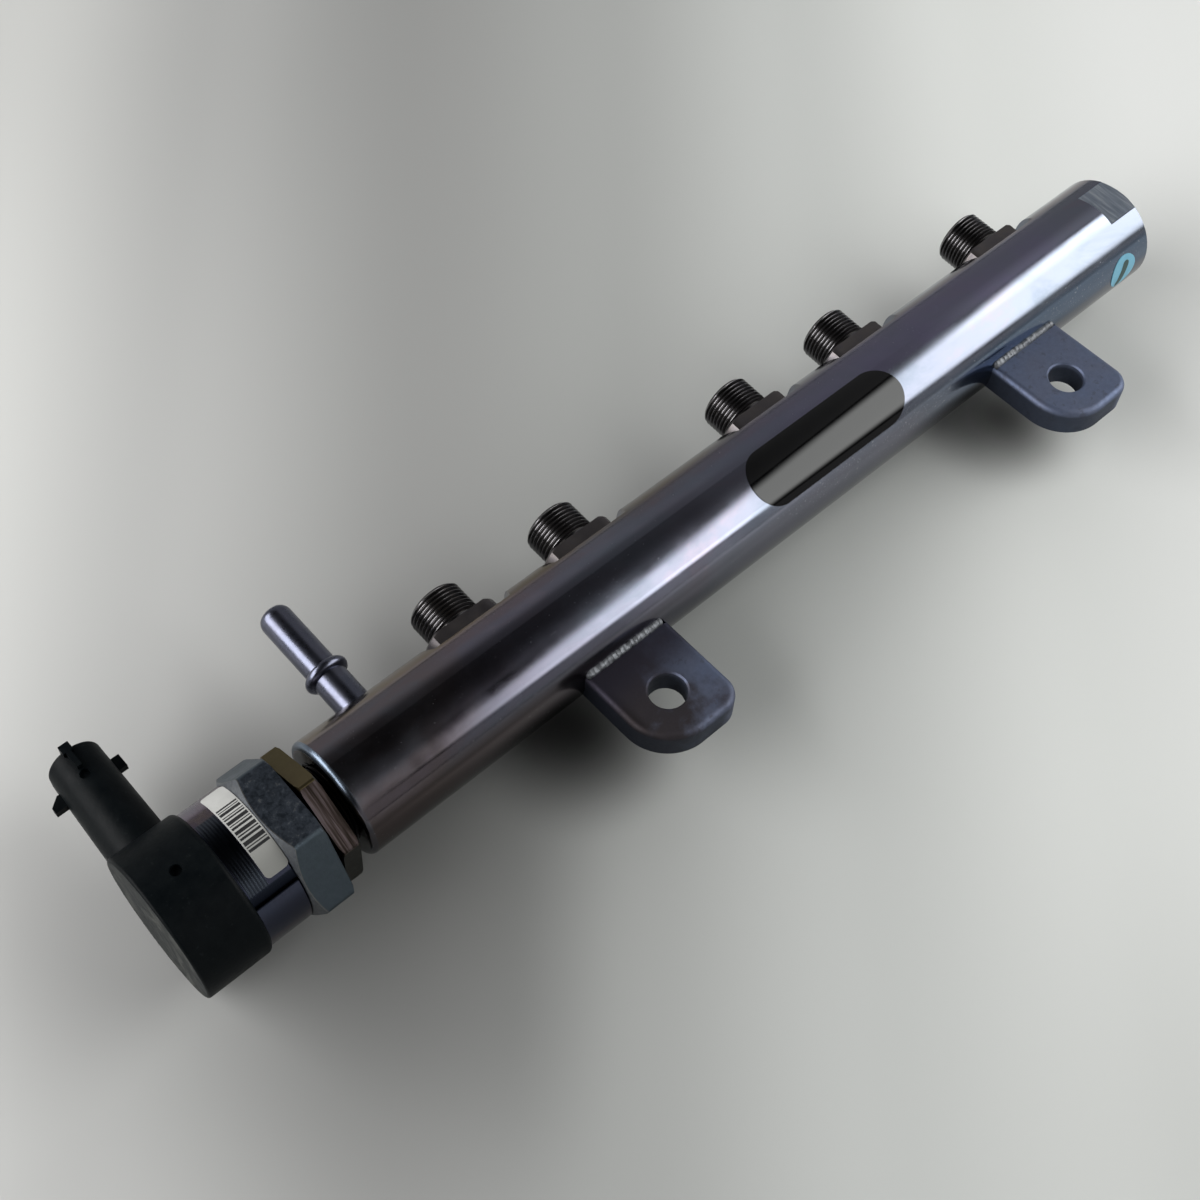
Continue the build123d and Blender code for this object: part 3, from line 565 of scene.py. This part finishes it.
def make_shell_steel():
    """Blue-violet shell, pinkish on its crown, with turned lines; painted shade in the slot, on the lines
    near the top and underneath.
    """
    pink = (0.155, 0.118, 0.145)
    bronze = (0.24, 0.20, 0.15)
    line_shade = (0.006, 0.008, 0.013)
    line_tones = [(0.2, (0.052, 0.062, 0.080)), (0.9, (0.090, 0.108, 0.130))]
    slot_tones = [(0.0, (0.034, 0.042, 0.060)), (0.75, (0.012, 0.015, 0.024))]
    painted_underside_shade = (0.030, 0.034, 0.050)
    lined_stations, lined_angles, line_pitch = (-27.4, -23.0, 0.1), (70.0, 137.0, 2.0), 0.72
    shade_angle, slot_angles, slot_end = 98.0, (135.9, 147.1, 0.3), -17.3
    underside_shade_angles = (150.0, 300.0, 6.0)
    m = metal(
        "shell_steel",
        (0.080, 0.094, 0.145),
        [(0.096, 0.096, 0.140), (0.074, 0.094, 0.150)],
        (0.18, 0.28),
        streak=AROUND,
        tint_scale=60.0,
        streaky=0.12,
    )
    station, _, angle = m.axial()
    cloud = m.noise(110.0, 4.0, 0.6)
    crown = m.times(m.soft(angle, 80.0, 62.0, 0.0, 1.0), m.span(cloud, 0.35, 0.6, 0.5, 1.0))
    colour = m.mix(crown, m.colour, pink)
    shoulder = m.times(m.within(angle, 60.0, 76.0, 5.0), m.span(cloud, 0.45, 0.65, 0.0, 0.7))
    colour = m.mix(shoulder, colour, bronze)
    # Painted shade: the turned lines are near black around the shade angle and paler above and beneath it.
    band = m.times(m.within(angle, *lined_angles), m.within(station, *lined_stations))
    rings = m.rings(station, line_pitch)
    above = m.soft(angle, shade_angle, 76.0, 0.25, 1.0)
    beneath = m.soft(angle, shade_angle, 119.0, 0.25, 1.0)
    pale = m.calc("MAXIMUM", above, beneath)
    lined = m.mix(pale, line_shade, m.ramp(m.span(rings, -1.0, 1.0, 0.0, 1.0), line_tones))
    colour = m.mix(m.times(band, 0.9), colour, lined)
    # Painted shade in the slot, darker toward its lower side.
    slot = m.times(m.within(angle, *slot_angles), m.soft(station, slot_end + 0.2, slot_end, 0.0, 1.0))
    colour = m.mix(slot, colour, m.ramp(m.span(angle, 136.0, 147.0, 0.0, 1.0), slot_tones))
    # Painted shade on the underside.
    below = m.times(m.within(m.full_turn(angle), *underside_shade_angles), 0.55)
    m.set(Base_Color=m.mix(below, colour, painted_underside_shade))
    m.bump(m.times(band, rings, pale), 0.000007)
    return m


def make_housing_black():
    """Black-green moulding, rubbed grey and scraped on its round end face."""
    end_grey = (0.015, 0.0175, 0.0175)
    scrape = (0.10, 0.10, 0.090)
    pale_dust = (0.012, 0.015, 0.016)
    end_station, end_radius = -43.65, 17.0
    m = plain(
        "housing_black",
        (0.0010, 0.0020, 0.0028),
        (0.0024, 0.0038, 0.0046),
        (0.42, 0.54),
        scale=1100.0,
        grain=0.00004,
        sheen=0.08,
    )
    station, radius, _ = m.axial()
    wear = m.noise(160.0, 5.0, 0.7, stretch=(1.0, 1.0, 0.5), distortion=0.6)
    end = m.times(
        m.soft(station, end_station + 0.1, end_station, 0.0, 1.0),
        m.soft(radius, end_radius, end_radius - 0.8, 0.0, 1.0),
    )
    colour = m.mix(m.times(end, 0.85), m.colour, end_grey)
    colour = m.mix(m.times(end, m.soft(wear, 0.50, 0.66, 0.0, 1.0), 0.40), colour, scrape)
    colour = m.mix(m.soft(m.noise(900.0, 3.0, 0.6), 0.62, 0.72, 0.0, 0.35), colour, pale_dust)
    m.set(Base_Color=colour)
    return m


def make_strip_white():
    """Off-white label stock, with painted shade darkening it toward its lower end."""
    lower_end_shade = (0.25, 0.25, 0.235)
    m = plain("strip_white", (0.50, 0.50, 0.48), (0.55, 0.55, 0.53), (0.5, 0.62), grain=0.00001, sheen=0.3)
    *_, angle = m.axial()
    # Painted shade: greyer toward the lower end.
    m.set(Base_Color=m.mix(m.soft(angle, 60.0, 132.0, 0.0, 1.0), m.colour, lower_end_shade))
    return m


tube_steel = make_tube_steel()
stud_steel = metal(
    "stud_steel",
    (0.185, 0.180, 0.188),
    [(0.155, 0.150, 0.153), (0.205, 0.202, 0.212)],
    (0.18, 0.24),
    tint_scale=120.0,
    grain=0.000002,
    streaky=0.05,
)
flange_steel = metal(
    "flange_steel",
    (0.125, 0.116, 0.124),
    [(0.140, 0.126, 0.124), (0.110, 0.104, 0.120)],
    (0.34, 0.46),
    tint_scale=160.0,
)
# Near-black steel laid in the thread roots as painted shade.
root_shade_steel = metal("root_shade_steel", (0.030, 0.028, 0.027), [(0.038, 0.036, 0.034)], (0.4, 0.5), grain=0.000002)
spigot_steel = metal(
    "spigot_steel",
    (0.125, 0.135, 0.180),
    [(0.140, 0.145, 0.190), (0.115, 0.118, 0.150)],
    (0.25, 0.33),
    tint_scale=160.0,
)
weld_steel = metal(
    "weld_steel",
    (0.235, 0.245, 0.262),
    [(0.205, 0.212, 0.228), (0.080, 0.080, 0.086)],
    (0.54, 0.66),
    tint_scale=700.0,
    grain=0.000012,
)
lug_steel = make_lug_steel()
nut_steel = make_nut_steel()
body_steel = make_body_steel()
shell_steel = make_shell_steel()
inner_steel = metal("inner_steel", (0.36, 0.36, 0.36), [(0.32, 0.32, 0.33), (0.40, 0.40, 0.39)], (0.2, 0.3))
copper_wire = metal(
    "copper_like",
    (0.45, 0.20, 0.095),
    [(0.36, 0.144, 0.072), (0.50, 0.24, 0.122)],
    (0.25, 0.35),
    streak=(8.0, 0.3, 0.3),
    grain=0.00006,
)
contact_tin = metal("contact_tin", (0.43, 0.43, 0.42), [(0.40, 0.40, 0.39), (0.47, 0.46, 0.43)], (0.22, 0.32))
plate_black = plain(
    "plate_black",
    (0.0008, 0.0008, 0.0010),
    (0.0016, 0.0016, 0.0018),
    (0.05, 0.08),
    grain=0.0000005,
    sheen=0.46,
)
dot_blue = plain("dot_blue", (0.175, 0.46, 0.62), (0.205, 0.50, 0.66), (0.4, 0.5), grain=0.00001)
mark_green = plain("mark_green", (0.02, 0.06, 0.055), (0.03, 0.08, 0.07), (0.4, 0.5), grain=0.00001)
strip_white = make_strip_white()
strip_ink = plain("strip_ink", (0.012, 0.012, 0.014), (0.02, 0.02, 0.02), (0.4, 0.5), grain=0.00001)
seal_rubber = plain("seal_rubber", (0.012, 0.012, 0.012), (0.02, 0.02, 0.02), (0.5, 0.6))
housing_black = make_housing_black()
bobbin_plastic = plain("bobbin_plastic", (0.15, 0.15, 0.13), (0.18, 0.18, 0.16), (0.45, 0.55))

# Every CAD node that isn't named here gets the inner steel.
NODE_MATERIALS = {
    "rail_tube": tube_steel,
    "mounting_lug_1": lug_steel,
    "mounting_lug_2": lug_steel,
    "rating_plate": plate_black,
    "colour_dot": dot_blue,
    "lock_nut": nut_steel,
    "valve_body": body_steel,
    "magnet_shell": shell_steel,
    "body_oring": seal_rubber,
    "coil_bobbin": bobbin_plastic,
    "coil_winding": copper_wire,
    "valve_housing": housing_black,
    "contact_upper": contact_tin,
    "contact_lower": contact_tin,
}
for node_name, node in nodes.items():
    node.data.materials.clear()
    node.data.materials.append(NODE_MATERIALS.get(node_name, inner_steel).material)


# Union studs

# Distances out from the tube axis, and radii of flange, relief and thread.
STUD_SEAT = 9.8
STUD_NECK = 14.5
STUD_RELIEF = 0.75
STUD_END = 23.9
FLANGE_RADIUS = 10.4
FLANGE_TOP_RADIUS = 9.8
FLAT_HALF = 7.0
RELIEF_RADIUS = 6.3
CREST_RADIUS = 7.0


def thread_wave(turn):
    """Height of a 60 degree thread at a share of its pitch, 0 at the root and 1 on the crest."""
    root_width, flank_width = 0.16, 0.68
    share = turn - math.floor(turn)
    rise = abs(2.0 * share - 1.0)
    return min(1.0, max(0.0, (rise - root_width) / flank_width))


def stud_profile(rows_a_turn):
    """Distance, radius and kind of each ring of a stud, and where its thread's rings begin and end."""
    passage, mouth, mouth_depth = 1.5, 4.5, 5.15
    bevel, rounding = 0.6, 0.05
    thread_from = STUD_NECK + STUD_RELIEF
    profile = [
        (STUD_SEAT, passage, "round"),
        (STUD_SEAT, FLANGE_RADIUS, "flats"),
        (STUD_NECK - bevel, FLANGE_RADIUS, "flats"),
        (STUD_NECK - bevel + rounding, FLANGE_RADIUS - 0.04, "flats"),
        (STUD_NECK - 0.03, FLANGE_TOP_RADIUS + rounding, "flats"),
        (STUD_NECK, FLANGE_TOP_RADIUS, "flats"),
        (STUD_NECK, RELIEF_RADIUS + 0.02, "round"),
        (STUD_NECK + rounding, RELIEF_RADIUS, "round"),
        (thread_from, RELIEF_RADIUS, "round"),
    ]
    before = len(profile)
    row = THREAD_PITCH / rows_a_turn
    turns = math.ceil((STUD_END - thread_from) / THREAD_PITCH) + 1
    for i in range(turns * rows_a_turn + 1):
        profile.append((thread_from - THREAD_PITCH + i * row, CREST_RADIUS, "thread"))
    after = len(profile)
    profile += [
        (STUD_END, mouth + 0.12, "round"),
        (STUD_END - 0.07, mouth, "round"),
        (STUD_END - mouth_depth, passage, "round"),
        (STUD_SEAT, passage, "round"),
    ]
    return profile, before, after


def stud_ring_point(distance, radius, kind, a):
    """Distance and radius of a stud's point at an angle: flats cut off, thread wound up and run out."""
    if kind == "flats" and abs(math.sin(a)) * radius > FLAT_HALF:
        return distance, FLAT_HALF / abs(math.sin(a))
    if kind != "thread":
        return distance, radius
    thread_depth, chamfer, runout_length = 0.62, 0.8, 0.5
    thread_from = STUD_NECK + STUD_RELIEF
    out = min(STUD_END, max(thread_from, distance + THREAD_PITCH * a / (2 * math.pi)))
    cut = thread_depth * (1.0 - thread_wave(distance / THREAD_PITCH))
    runout = min(1.0, (out - thread_from) / runout_length)
    threaded = RELIEF_RADIUS + (CREST_RADIUS - cut - RELIEF_RADIUS) * runout
    return out, min(threaded, CREST_RADIUS - max(0.0, out - (STUD_END - chamfer)))


def make_stud(number, station):
    """A union stud on its flange with two flats, its thread one helix."""
    around, rows_a_turn, flange_rows, root_height = 96, 10, 6, 0.35
    bright, flange, root = 0, 1, 2
    profile, before, after = stud_profile(rows_a_turn)
    points = []
    for distance, radius, kind in profile:
        for a in ring_angles(around):
            out, reach = stud_ring_point(distance, radius, kind, a)
            points.append(port_point(station, out, reach * math.cos(a), reach * math.sin(a)))
    half_row = 0.5 * THREAD_PITCH / rows_a_turn
    faces, face_materials = [], []
    for i in range(len(profile) - 1):
        on_thread = before <= i < after - 1
        finish = flange if i < flange_rows else bright
        # Faces in the thread roots take the near-black steel as painted shade.
        if on_thread and thread_wave((profile[i][0] + half_row) / THREAD_PITCH) < root_height:
            finish = root
        for j in range(around):
            k, low, high = (j + 1) % around, i, i + 1
            if k == 0 and on_thread:
                low, high = min(i + rows_a_turn, after - 1), min(i + 1 + rows_a_turn, after - 1)
            corners = (i * around + j, low * around + k, high * around + k, (i + 1) * around + j)
            faces.append(corners if low != high else (corners[0], corners[1], corners[3]))
            face_materials.append(finish)
    materials = [stud_steel.material, flange_steel.material, root_shade_steel.material]
    piece = build(
        f"stud_{number}", points, faces, materials, sharp=38.0, face_materials=face_materials
    )
    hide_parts(f"port_stud_{number}")


for number, station in enumerate(STUD_STATIONS, start=1):
    make_stud(number, station)


# Return spigot
def make_spigot():
    """Hose spigot with a rolled bead and a domed tip, open along its bore."""
    station, inner, end, dome = 17.7, 11.0, 44.9, 2.4
    bore, root, pipe, lip = 2.4, 4.15, 3.95, 0.05
    bead_at, bead_half, bead_out = 24.7, 1.3, 5.5
    around, steps = 72, 12
    profile = [(inner, bore), (inner, root), (bead_at - bead_half, root)]
    for i in range(1, steps):
        t = math.pi * i / steps
        profile.append((bead_at - bead_half * math.cos(t), root + (bead_out - root) * math.sin(t)))
    profile += [(bead_at + bead_half, pipe), (end - dome, pipe)]
    for i in range(1, steps + 1):
        t = 0.5 * math.pi * i / steps
        profile.append((end - dome + dome * math.sin(t), bore + lip + (pipe - bore - lip) * math.cos(t)))
    profile += [(end, bore), (inner, bore)]
    points = []
    for distance, radius in profile:
        for a in ring_angles(around):
            points.append(port_point(station, distance, radius * math.cos(a), radius * math.sin(a)))
    faces = rings_to_faces(len(profile), around)
    piece = build("hose_spigot", points, faces, [spigot_steel.material], sharp=40.0)
    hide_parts("return_spigot")


make_spigot()


# Weld beads
LUG_HOLES = ((1, -69.0), (2, 69.0))
LUG_TOP = 7.3
WELD_TO_LEFT = 11.3
TOP_WELD_TO_RIGHT = 11.4
BOTTOM_WELD_TO_RIGHT = 11.9


def bead_noise(x, a, seed, along, around):
    """Noise over a bead, scaled along it and around it."""
    return noise.noise(Vector((x * along + seed, math.cos(a) * around, math.sin(a) * around)))


def make_weld(number, place, left, right, height, seed):
    """An uneven bead of overlapping ripples in the corner between lug and tube."""
    bead, ripple, lumpiness, roughness = 1.04, 0.085, 0.20, 0.022
    ripple_pitch, ripple_curve, ripple_drift, seam = 1.25, 0.34, 0.9, 2.3
    ridge_height, cap_length, cap_least = 0.10, 0.8, 0.05
    drift_scale, lump_scale, small_scale = 0.35, (0.9, 1.1), (4.0, 3.0)
    rings, around = 220, 30
    corner = -math.sqrt(TUBE_RADIUS**2 - height**2)
    points = []
    for i in range(rings):
        t = i / (rings - 1)
        x = left + (right - left) * t
        end = min(t, 1 - t) * (right - left)
        cap = math.sqrt(max(0.0, 1 - (1 - min(1.0, end / cap_length)) ** 2)) * (1 - cap_least) + cap_least
        drift = noise.noise(Vector((x * drift_scale, seed, 0.0)))
        for a in ring_angles(around):
            crescent = x / ripple_pitch + ripple_drift * drift + ripple_curve * math.cos(a - seam)
            step = crescent - math.floor(crescent)
            lump = bead_noise(x, a, seed, *lump_scale)
            small = bead_noise(x, a, seed, *small_scale)
            ridge = ridge_height * math.cos(2 * (a - seam)) * (0.5 + drift)
            radius = bead + ripple * (1 - step) ** 2 + lumpiness * lump + roughness * small - ridge
            radius *= cap
            points.append((x, AXIS_Y + corner + radius * math.cos(a), AXIS_Z + height + radius * math.sin(a)))
    faces = rings_to_faces(rings, around) + end_faces(rings, around)
    piece = build(f"weld_{number}_{place}", points, faces, [weld_steel.material], sharp=70.0)
    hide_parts(f"lug_{number}_weld_{place}")


for number, hole in LUG_HOLES:
    left = hole - WELD_TO_LEFT
    make_weld(number, "top", left, hole + TOP_WELD_TO_RIGHT, LUG_TOP - AXIS_Z, 3.1 * number)
    make_weld(number, "bottom", left, hole + BOTTOM_WELD_TO_RIGHT, -AXIS_Z, 11.7 * number)


# Code strip
BARS_FROM = 69.0
BAR_WIDTHS = (1.6, 0.9, 2.6, 0.9, 1.4, 3.0, 0.9, 1.9, 2.8, 1.1, 1.9, 3.2, 0.9, 2.2)
BAR_GAPS = (1.2, 1.0, 1.6, 1.0, 1.4, 1.0, 1.2, 1.6, 1.0, 1.2, 1.6, 1.0, 1.2, 1.0)


def strip_bars():
    """First and last angle of each bar, a made-up rhythm in degrees."""
    bars, at = [], BARS_FROM
    for width, gap in zip(BAR_WIDTHS, BAR_GAPS):
        bars.append((at, at + width))
        at += width + gap
    return bars


def make_strip():
    """A strip wrapped on the shell, with round corners, a plain margin and bars of their own faces."""
    low, high, first, last = -22.75, -17.25, 42.0, 132.5
    radius, corner, corner_steps = 16.5, 1.1, 8
    low_margin, high_margin = 0.32, 0.3
    outside, inside = radius + 0.15, radius - 0.05
    bars = strip_bars()
    cuts = {first, last}
    for bar in bars:
        cuts.update(bar)
    step = math.degrees(corner / radius)
    for i in range(corner_steps + 1):
        turn = step * (1 - math.cos(math.pi / 2 * i / corner_steps))
        cuts.update((first + turn, last - turn))
    cuts.update(first + step + i for i in range(1, 90) if first + step + i < last - step)
    angles = sorted(cuts)
    points, faces, inks = [], [], []
    for a in angles:
        reach = min(a - first, last - a)
        inset = 0.0
        if reach < step:
            inset = corner * (1 - math.sqrt(max(0.0, 1 - (1 - reach / step) ** 2)))
        left, right = low + inset, high - inset
        for x in (left, max(left, low + low_margin), min(right, high - high_margin), right):
            points.append(on_tube(x, outside, a))
        points.append(on_tube(left, inside, a))
        points.append(on_tube(right, inside, a))
    for i in range(len(angles) - 1):
        middle = (angles[i] + angles[i + 1]) / 2
        black = any(a < middle < b for a, b in bars)
        p, q = i * 6, (i + 1) * 6
        for k in range(3):
            faces.append((p + k, p + k + 1, q + k + 1, q + k))
            inks.append(1 if black and k == 1 else 0)
        faces.append((p + 4, p, q, q + 4))
        faces.append((p + 3, p + 5, q + 5, q + 3))
        inks += [0, 0]
    for p in (0, (len(angles) - 1) * 6):
        faces.append((p, p + 1, p + 2, p + 3, p + 5, p + 4))
        inks.append(0)
    materials = [strip_white.material, strip_ink.material]
    piece = build("wrapped_strip", points, faces, materials, face_materials=inks)
    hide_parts("code_strip")


make_strip()


# Closing spring
def make_spring():
    """Wire coil between the sleeve's end and the armature's pocket, built at one length; the real spring
    shortens as the valve lifts.
    """
    wire, mean, turns = 0.35, 2.6, 3.5
    steps, around = 112, 12
    low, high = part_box("closing_spring")
    first, last = low.x / MM + wire, high.x / MM - wire
    points = []
    for i in range(steps + 1):
        x = first + (last - first) * i / steps
        turn = 2 * math.pi * turns * i / steps
        for a in ring_angles(around):
            out = mean + wire * math.cos(a)
            y = AXIS_Y + out * math.cos(turn)
            z = AXIS_Z + out * math.sin(turn)
            points.append((x + wire * math.sin(a), y, z))
    faces = rings_to_faces(steps + 1, around) + end_faces(steps + 1, around)
    piece = build("coiled_spring", points, faces, [inner_steel.material], sharp=40.0)
    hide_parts("closing_spring")
    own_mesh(piece)


make_spring()


# Mark on the colour dot
def make_dot_mark():
    """A dark stroke across the dot, round at both ends and laid on the tube's curve."""
    start, stop, half, steps = (250.9, 163.5), (249.0, 184.0), 1.2, 40
    dot_face, mark_face, least = 14.7, 14.68, 0.01
    shares = (-1.0, -0.5, 0.0, 0.5, 1.0)
    degree = math.radians(1.0) * dot_face
    length = math.hypot(stop[0] - start[0], (stop[1] - start[1]) * degree)
    side = ((start[1] - stop[1]) * degree / length, (stop[0] - start[0]) / length)
    points = []
    for i in range(steps + 1):
        run = -half + (length + 2 * half) * (1 - math.cos(math.pi * i / steps)) / 2
        over = max(0.0, -run, run - length)
        width = math.sqrt(max(0.0, half * half - over * over)) + least
        station = start[0] + (stop[0] - start[0]) * run / length
        degrees = start[1] + (stop[1] - start[1]) * run / length
        for share in shares:
            across = share * width
            points.append(on_tube(station + side[0] * across, mark_face, degrees + side[1] * across / degree))
    faces = rings_to_faces(steps + 1, len(shares), close=False)
    build("dot_mark", points, faces, [mark_green.material])


make_dot_mark()


# Stage, light and camera, in metres

# The photograph's right and up on the floor.
FLOOR_RIGHT = (0.7402, -0.6714, 0.0)
FLOOR_UP = (0.6714, 0.7402, 0.0)
FLOOR_GAP = 0.0002
FLOOR_HALF = 6.0

# Painted light and shade on the paper across the view, from the floor's reach left of the origin to its reach
# right.
FLOOR_TONES = [
    (0.20, (0.67, 0.67, 0.65)),
    (0.276, (0.47, 0.47, 0.46)),
    (0.355, (0.315, 0.315, 0.308)),
    (0.42, (0.365, 0.37, 0.36)),
    (0.49, (0.515, 0.525, 0.51)),
    (0.56, (0.675, 0.685, 0.665)),
    (0.63, (0.74, 0.745, 0.73)),
    (0.72, (0.735, 0.74, 0.725)),
]
FLOOR_REACH = 0.40
# The paper is painted darker far from the part, as light falling off.
FLOOR_FAR = (0.12, 0.12, 0.12)
FAR_FROM, FAR_TO = 0.38, 0.9
FLOOR_LEVEL = 1.07

# Painted light and shade that change slowly over the paper: range across, range away, and the most that it
# adds.
FLOOR_CHANGES = [
    ((-0.13, -0.05), (0.02, 0.21), 0.10),
    ((-0.11, -0.16), (0.02, 0.19), -0.14),
    ((0.0, 0.06), (-0.05, -0.15), -0.15),
]

# Shade in front of the valve: fades across, range away with its edge, and depth.
VALVE_SHADE_LEFT = (-0.20, -0.115)
VALVE_SHADE_RIGHT = (-0.085, -0.055)
VALVE_SHADE_AWAY = (-0.110, -0.085, 0.060)
VALVE_SHADE_DEPTH = 0.36

# Deep shade under the tube beside each lug: place across and away, reach and depth.
DEEP_SHADE = [((-0.070, -0.045), 0.030, 0.90), ((0.041, 0.051), 0.028, 0.86)]


def make_floor():
    """Pale paper whose painted light and shade, its grey gradient, darkening far off and deep shade, are part
    of its colour.
    """
    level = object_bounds()[0].z - FLOOR_GAP
    corners = [(-1, -1), (1, -1), (1, 1), (-1, 1)]
    mesh = bpy.data.meshes.new("floor")
    mesh.from_pydata([(x * FLOOR_HALF, y * FLOOR_HALF, level) for x, y in corners], [], [(0, 1, 2, 3)])
    floor = bpy.data.objects.new("floor", mesh)
    bpy.context.scene.collection.objects.link(floor)

    m = Nodes("floor_paper")
    across = m.distance_along(FLOOR_RIGHT)
    away = m.distance_along(FLOOR_UP)
    lean = m.times(m.soft(across, -0.02, -0.14, 0.0, 1.0), m.span(away, -0.30, 0.35, -0.022, 0.010))
    shade = m.span(m.plus(across, lean), -FLOOR_REACH, FLOOR_REACH, 0.0, 1.0)
    from_centre = m.new("ShaderNodeVectorMath")
    from_centre.operation = "LENGTH"
    m.put(from_centre.inputs[0], m.place)
    far = m.soft(from_centre.outputs["Value"], FAR_FROM, FAR_TO, 0.0, 0.75)
    colour = m.mix(far, m.ramp(shade, FLOOR_TONES, smooth=True), FLOOR_FAR)

    tone = FLOOR_LEVEL
    for range_across, range_away, most in FLOOR_CHANGES:
        share = m.soft(across, *range_across, 0.0, 1.0)
        tone = m.plus(tone, m.times(share, m.soft(away, *range_away, 0.0, most)))
    valve_shade = m.times(
        m.soft(across, *VALVE_SHADE_LEFT, 0.0, 1.0),
        m.soft(across, *VALVE_SHADE_RIGHT, 1.0, 0.0),
        m.within(away, *VALVE_SHADE_AWAY),
        VALVE_SHADE_DEPTH,
    )
    tone = m.times(tone, m.minus(1.0, valve_shade))
    for (x, y), reach, depth in DEEP_SHADE:
        beside, behind = m.minus(across, x), m.minus(away, y)
        gap = m.calc("SQRT", m.plus(m.times(beside, beside), m.times(behind, behind)))
        tone = m.times(tone, m.soft(gap, 0.0, reach, 1.0 - depth, 1.0))
    m.set(Base_Color=m.dimmed(colour, tone), Roughness=0.9, Specular_IOR_Level=0.1)
    mesh.materials.append(m.material)


def facing(centre, right, up):
    """Place of a panel by its centre and the directions of its width and height."""
    x = Vector(right).normalized()
    y = (Vector(up) - Vector(up).project(x)).normalized()
    return Matrix.Translation(Vector(centre)) @ Matrix((x, y, x.cross(y))).transposed().to_4x4()


def make_key_panel():
    """A glowing sheet whose light fades to its edges and to its upper left corner."""
    centre, right, up = (0.694, -0.406, 0.675), (0.473, 0.825, -0.309), (0.159, 0.265, 0.951)
    left, right_edge, bottom, top = -0.88, 0.46, -0.56, 0.60
    slant_from, slant, right_fade = -0.1, 0.62, 0.06
    left_fade, top_fade, bottom_fade = (-0.86, -0.52), (0.24, 0.56), (-0.54, -0.38)
    radiance, tint = 4.25, (0.985, 1.0, 0.985, 1.0)
    corners = [(left, bottom), (right_edge, bottom), (right_edge, top), (left, top)]
    mesh = bpy.data.meshes.new("key_panel")
    mesh.from_pydata([(x, y, 0.0) for x, y in corners], [], [(3, 2, 1, 0)])
    sheet = bpy.data.objects.new("key_panel", mesh)
    sheet.matrix_world = facing(centre, right, up)
    bpy.context.scene.collection.objects.link(sheet)

    m = Nodes("key_panel")
    s, t, _ = m.coordinates()
    lifted = m.plus(t, m.times(m.calc("MAXIMUM", m.minus(slant_from, s), 0.0), slant))
    glow = m.times(
        m.soft(s, *left_fade, 0.0, 1.0),
        m.soft(s, right_edge - right_fade, right_edge, 1.0, 0.0),
        m.soft(lifted, *top_fade, 1.0, 0.0),
        m.soft(t, *bottom_fade, 0.0, 1.0),
    )
    light = m.new("ShaderNodeEmission")
    light.inputs["Color"].default_value = tint
    m.put(light.inputs["Strength"], m.times(glow, radiance))
    m.put(m.tree.nodes["Material Output"].inputs["Surface"], light.outputs[0])
    m.material.cycles.emission_sampling = "FRONT_BACK"
    mesh.materials.append(m.material)
    sheet.visible_camera = False


def make_fill_panel():
    """A dim soft panel from the left."""
    centre, right, up = (-0.90, 0.47, 0.52), (-0.46, -0.88, 0.0), (0.40, -0.21, 0.88)
    width, height, radiance = 1.4, 0.62, 6.2
    light = bpy.data.lights.new("fill_panel", "AREA")
    light.shape = "RECTANGLE"
    light.size = width
    light.size_y = height
    light.energy = radiance * math.pi * width * height
    light.color = (1, 1, 1)
    lamp = bpy.data.objects.new("fill_panel", light)
    lamp.matrix_world = facing(centre, right, up)
    bpy.context.scene.collection.objects.link(lamp)


# Brightness of the studio in a direction, by how much that points to its dark side.
STUDIO_DARK_SIDE = (-0.50, 0.10, 0.86)
STUDIO_LEVELS = [
    (0.0, 0.19),
    (0.30, 0.21),
    (0.38, 0.21),
    (0.45, 0.155),
    (0.515, 0.09),
    (0.575, 0.036),
    (0.65, 0.016),
    (0.72, 0.005),
    (1.0, 0.004),
]
STUDIO_STRENGTH = 1.4
BLUE_CAST = 1.01


def make_world():
    """Studio light that falls off toward the dark side."""
    world = bpy.data.worlds.new("studio")
    bpy.context.scene.world = world
    world.use_nodes = True
    tree = world.node_tree
    background = tree.nodes["Background"]
    place = tree.nodes.new("ShaderNodeTexCoord")
    toward = tree.nodes.new("ShaderNodeVectorMath")
    toward.operation = "DOT_PRODUCT"
    tree.links.new(place.outputs["Generated"], toward.inputs[0])
    toward.inputs[1].default_value = STUDIO_DARK_SIDE
    ramp = tree.nodes.new("ShaderNodeValToRGB")
    elements = ramp.color_ramp.elements
    while len(elements) < len(STUDIO_LEVELS):
        elements.new(0.5)
    for element, (at, level) in zip(elements, STUDIO_LEVELS):
        element.position = at
        element.color = (level, level, level * BLUE_CAST, 1)
    tree.links.new(toward.outputs["Value"], ramp.inputs["Fac"])
    tree.links.new(ramp.outputs["Color"], background.inputs["Color"])
    background.inputs["Strength"].default_value = STUDIO_STRENGTH


# The camera's place, lens and directions, fitted to the photograph.
CAMERA_PLACE = (-0.2146565, -0.120969, 0.3309943)
CAMERA_BACK = (-0.3888, -0.3836, 0.8377)
CAMERA_RIGHT = (0.7402, -0.6714, 0.0361)
CAMERA_LENS = 51.13


def make_camera():
    """The photograph's viewing angle."""
    camera_data = bpy.data.cameras.new("camera")
    camera_data.sensor_width = 36.0
    camera_data.lens = CAMERA_LENS
    camera_data.clip_start = 0.01
    camera_data.clip_end = 50.0
    camera = bpy.data.objects.new("camera", camera_data)
    back = Vector(CAMERA_BACK).normalized()
    right = Vector(CAMERA_RIGHT)
    right = (right - right.project(back)).normalized()
    turn = Matrix((right, back.cross(right), back)).transposed().to_4x4()
    camera.matrix_world = Matrix.Translation(CAMERA_PLACE) @ turn
    bpy.context.scene.collection.objects.link(camera)
    bpy.context.scene.camera = camera


make_floor()
make_world()
make_key_panel()
make_fill_panel()
make_camera()
bpy.context.scene.view_settings.view_transform = "Standard"
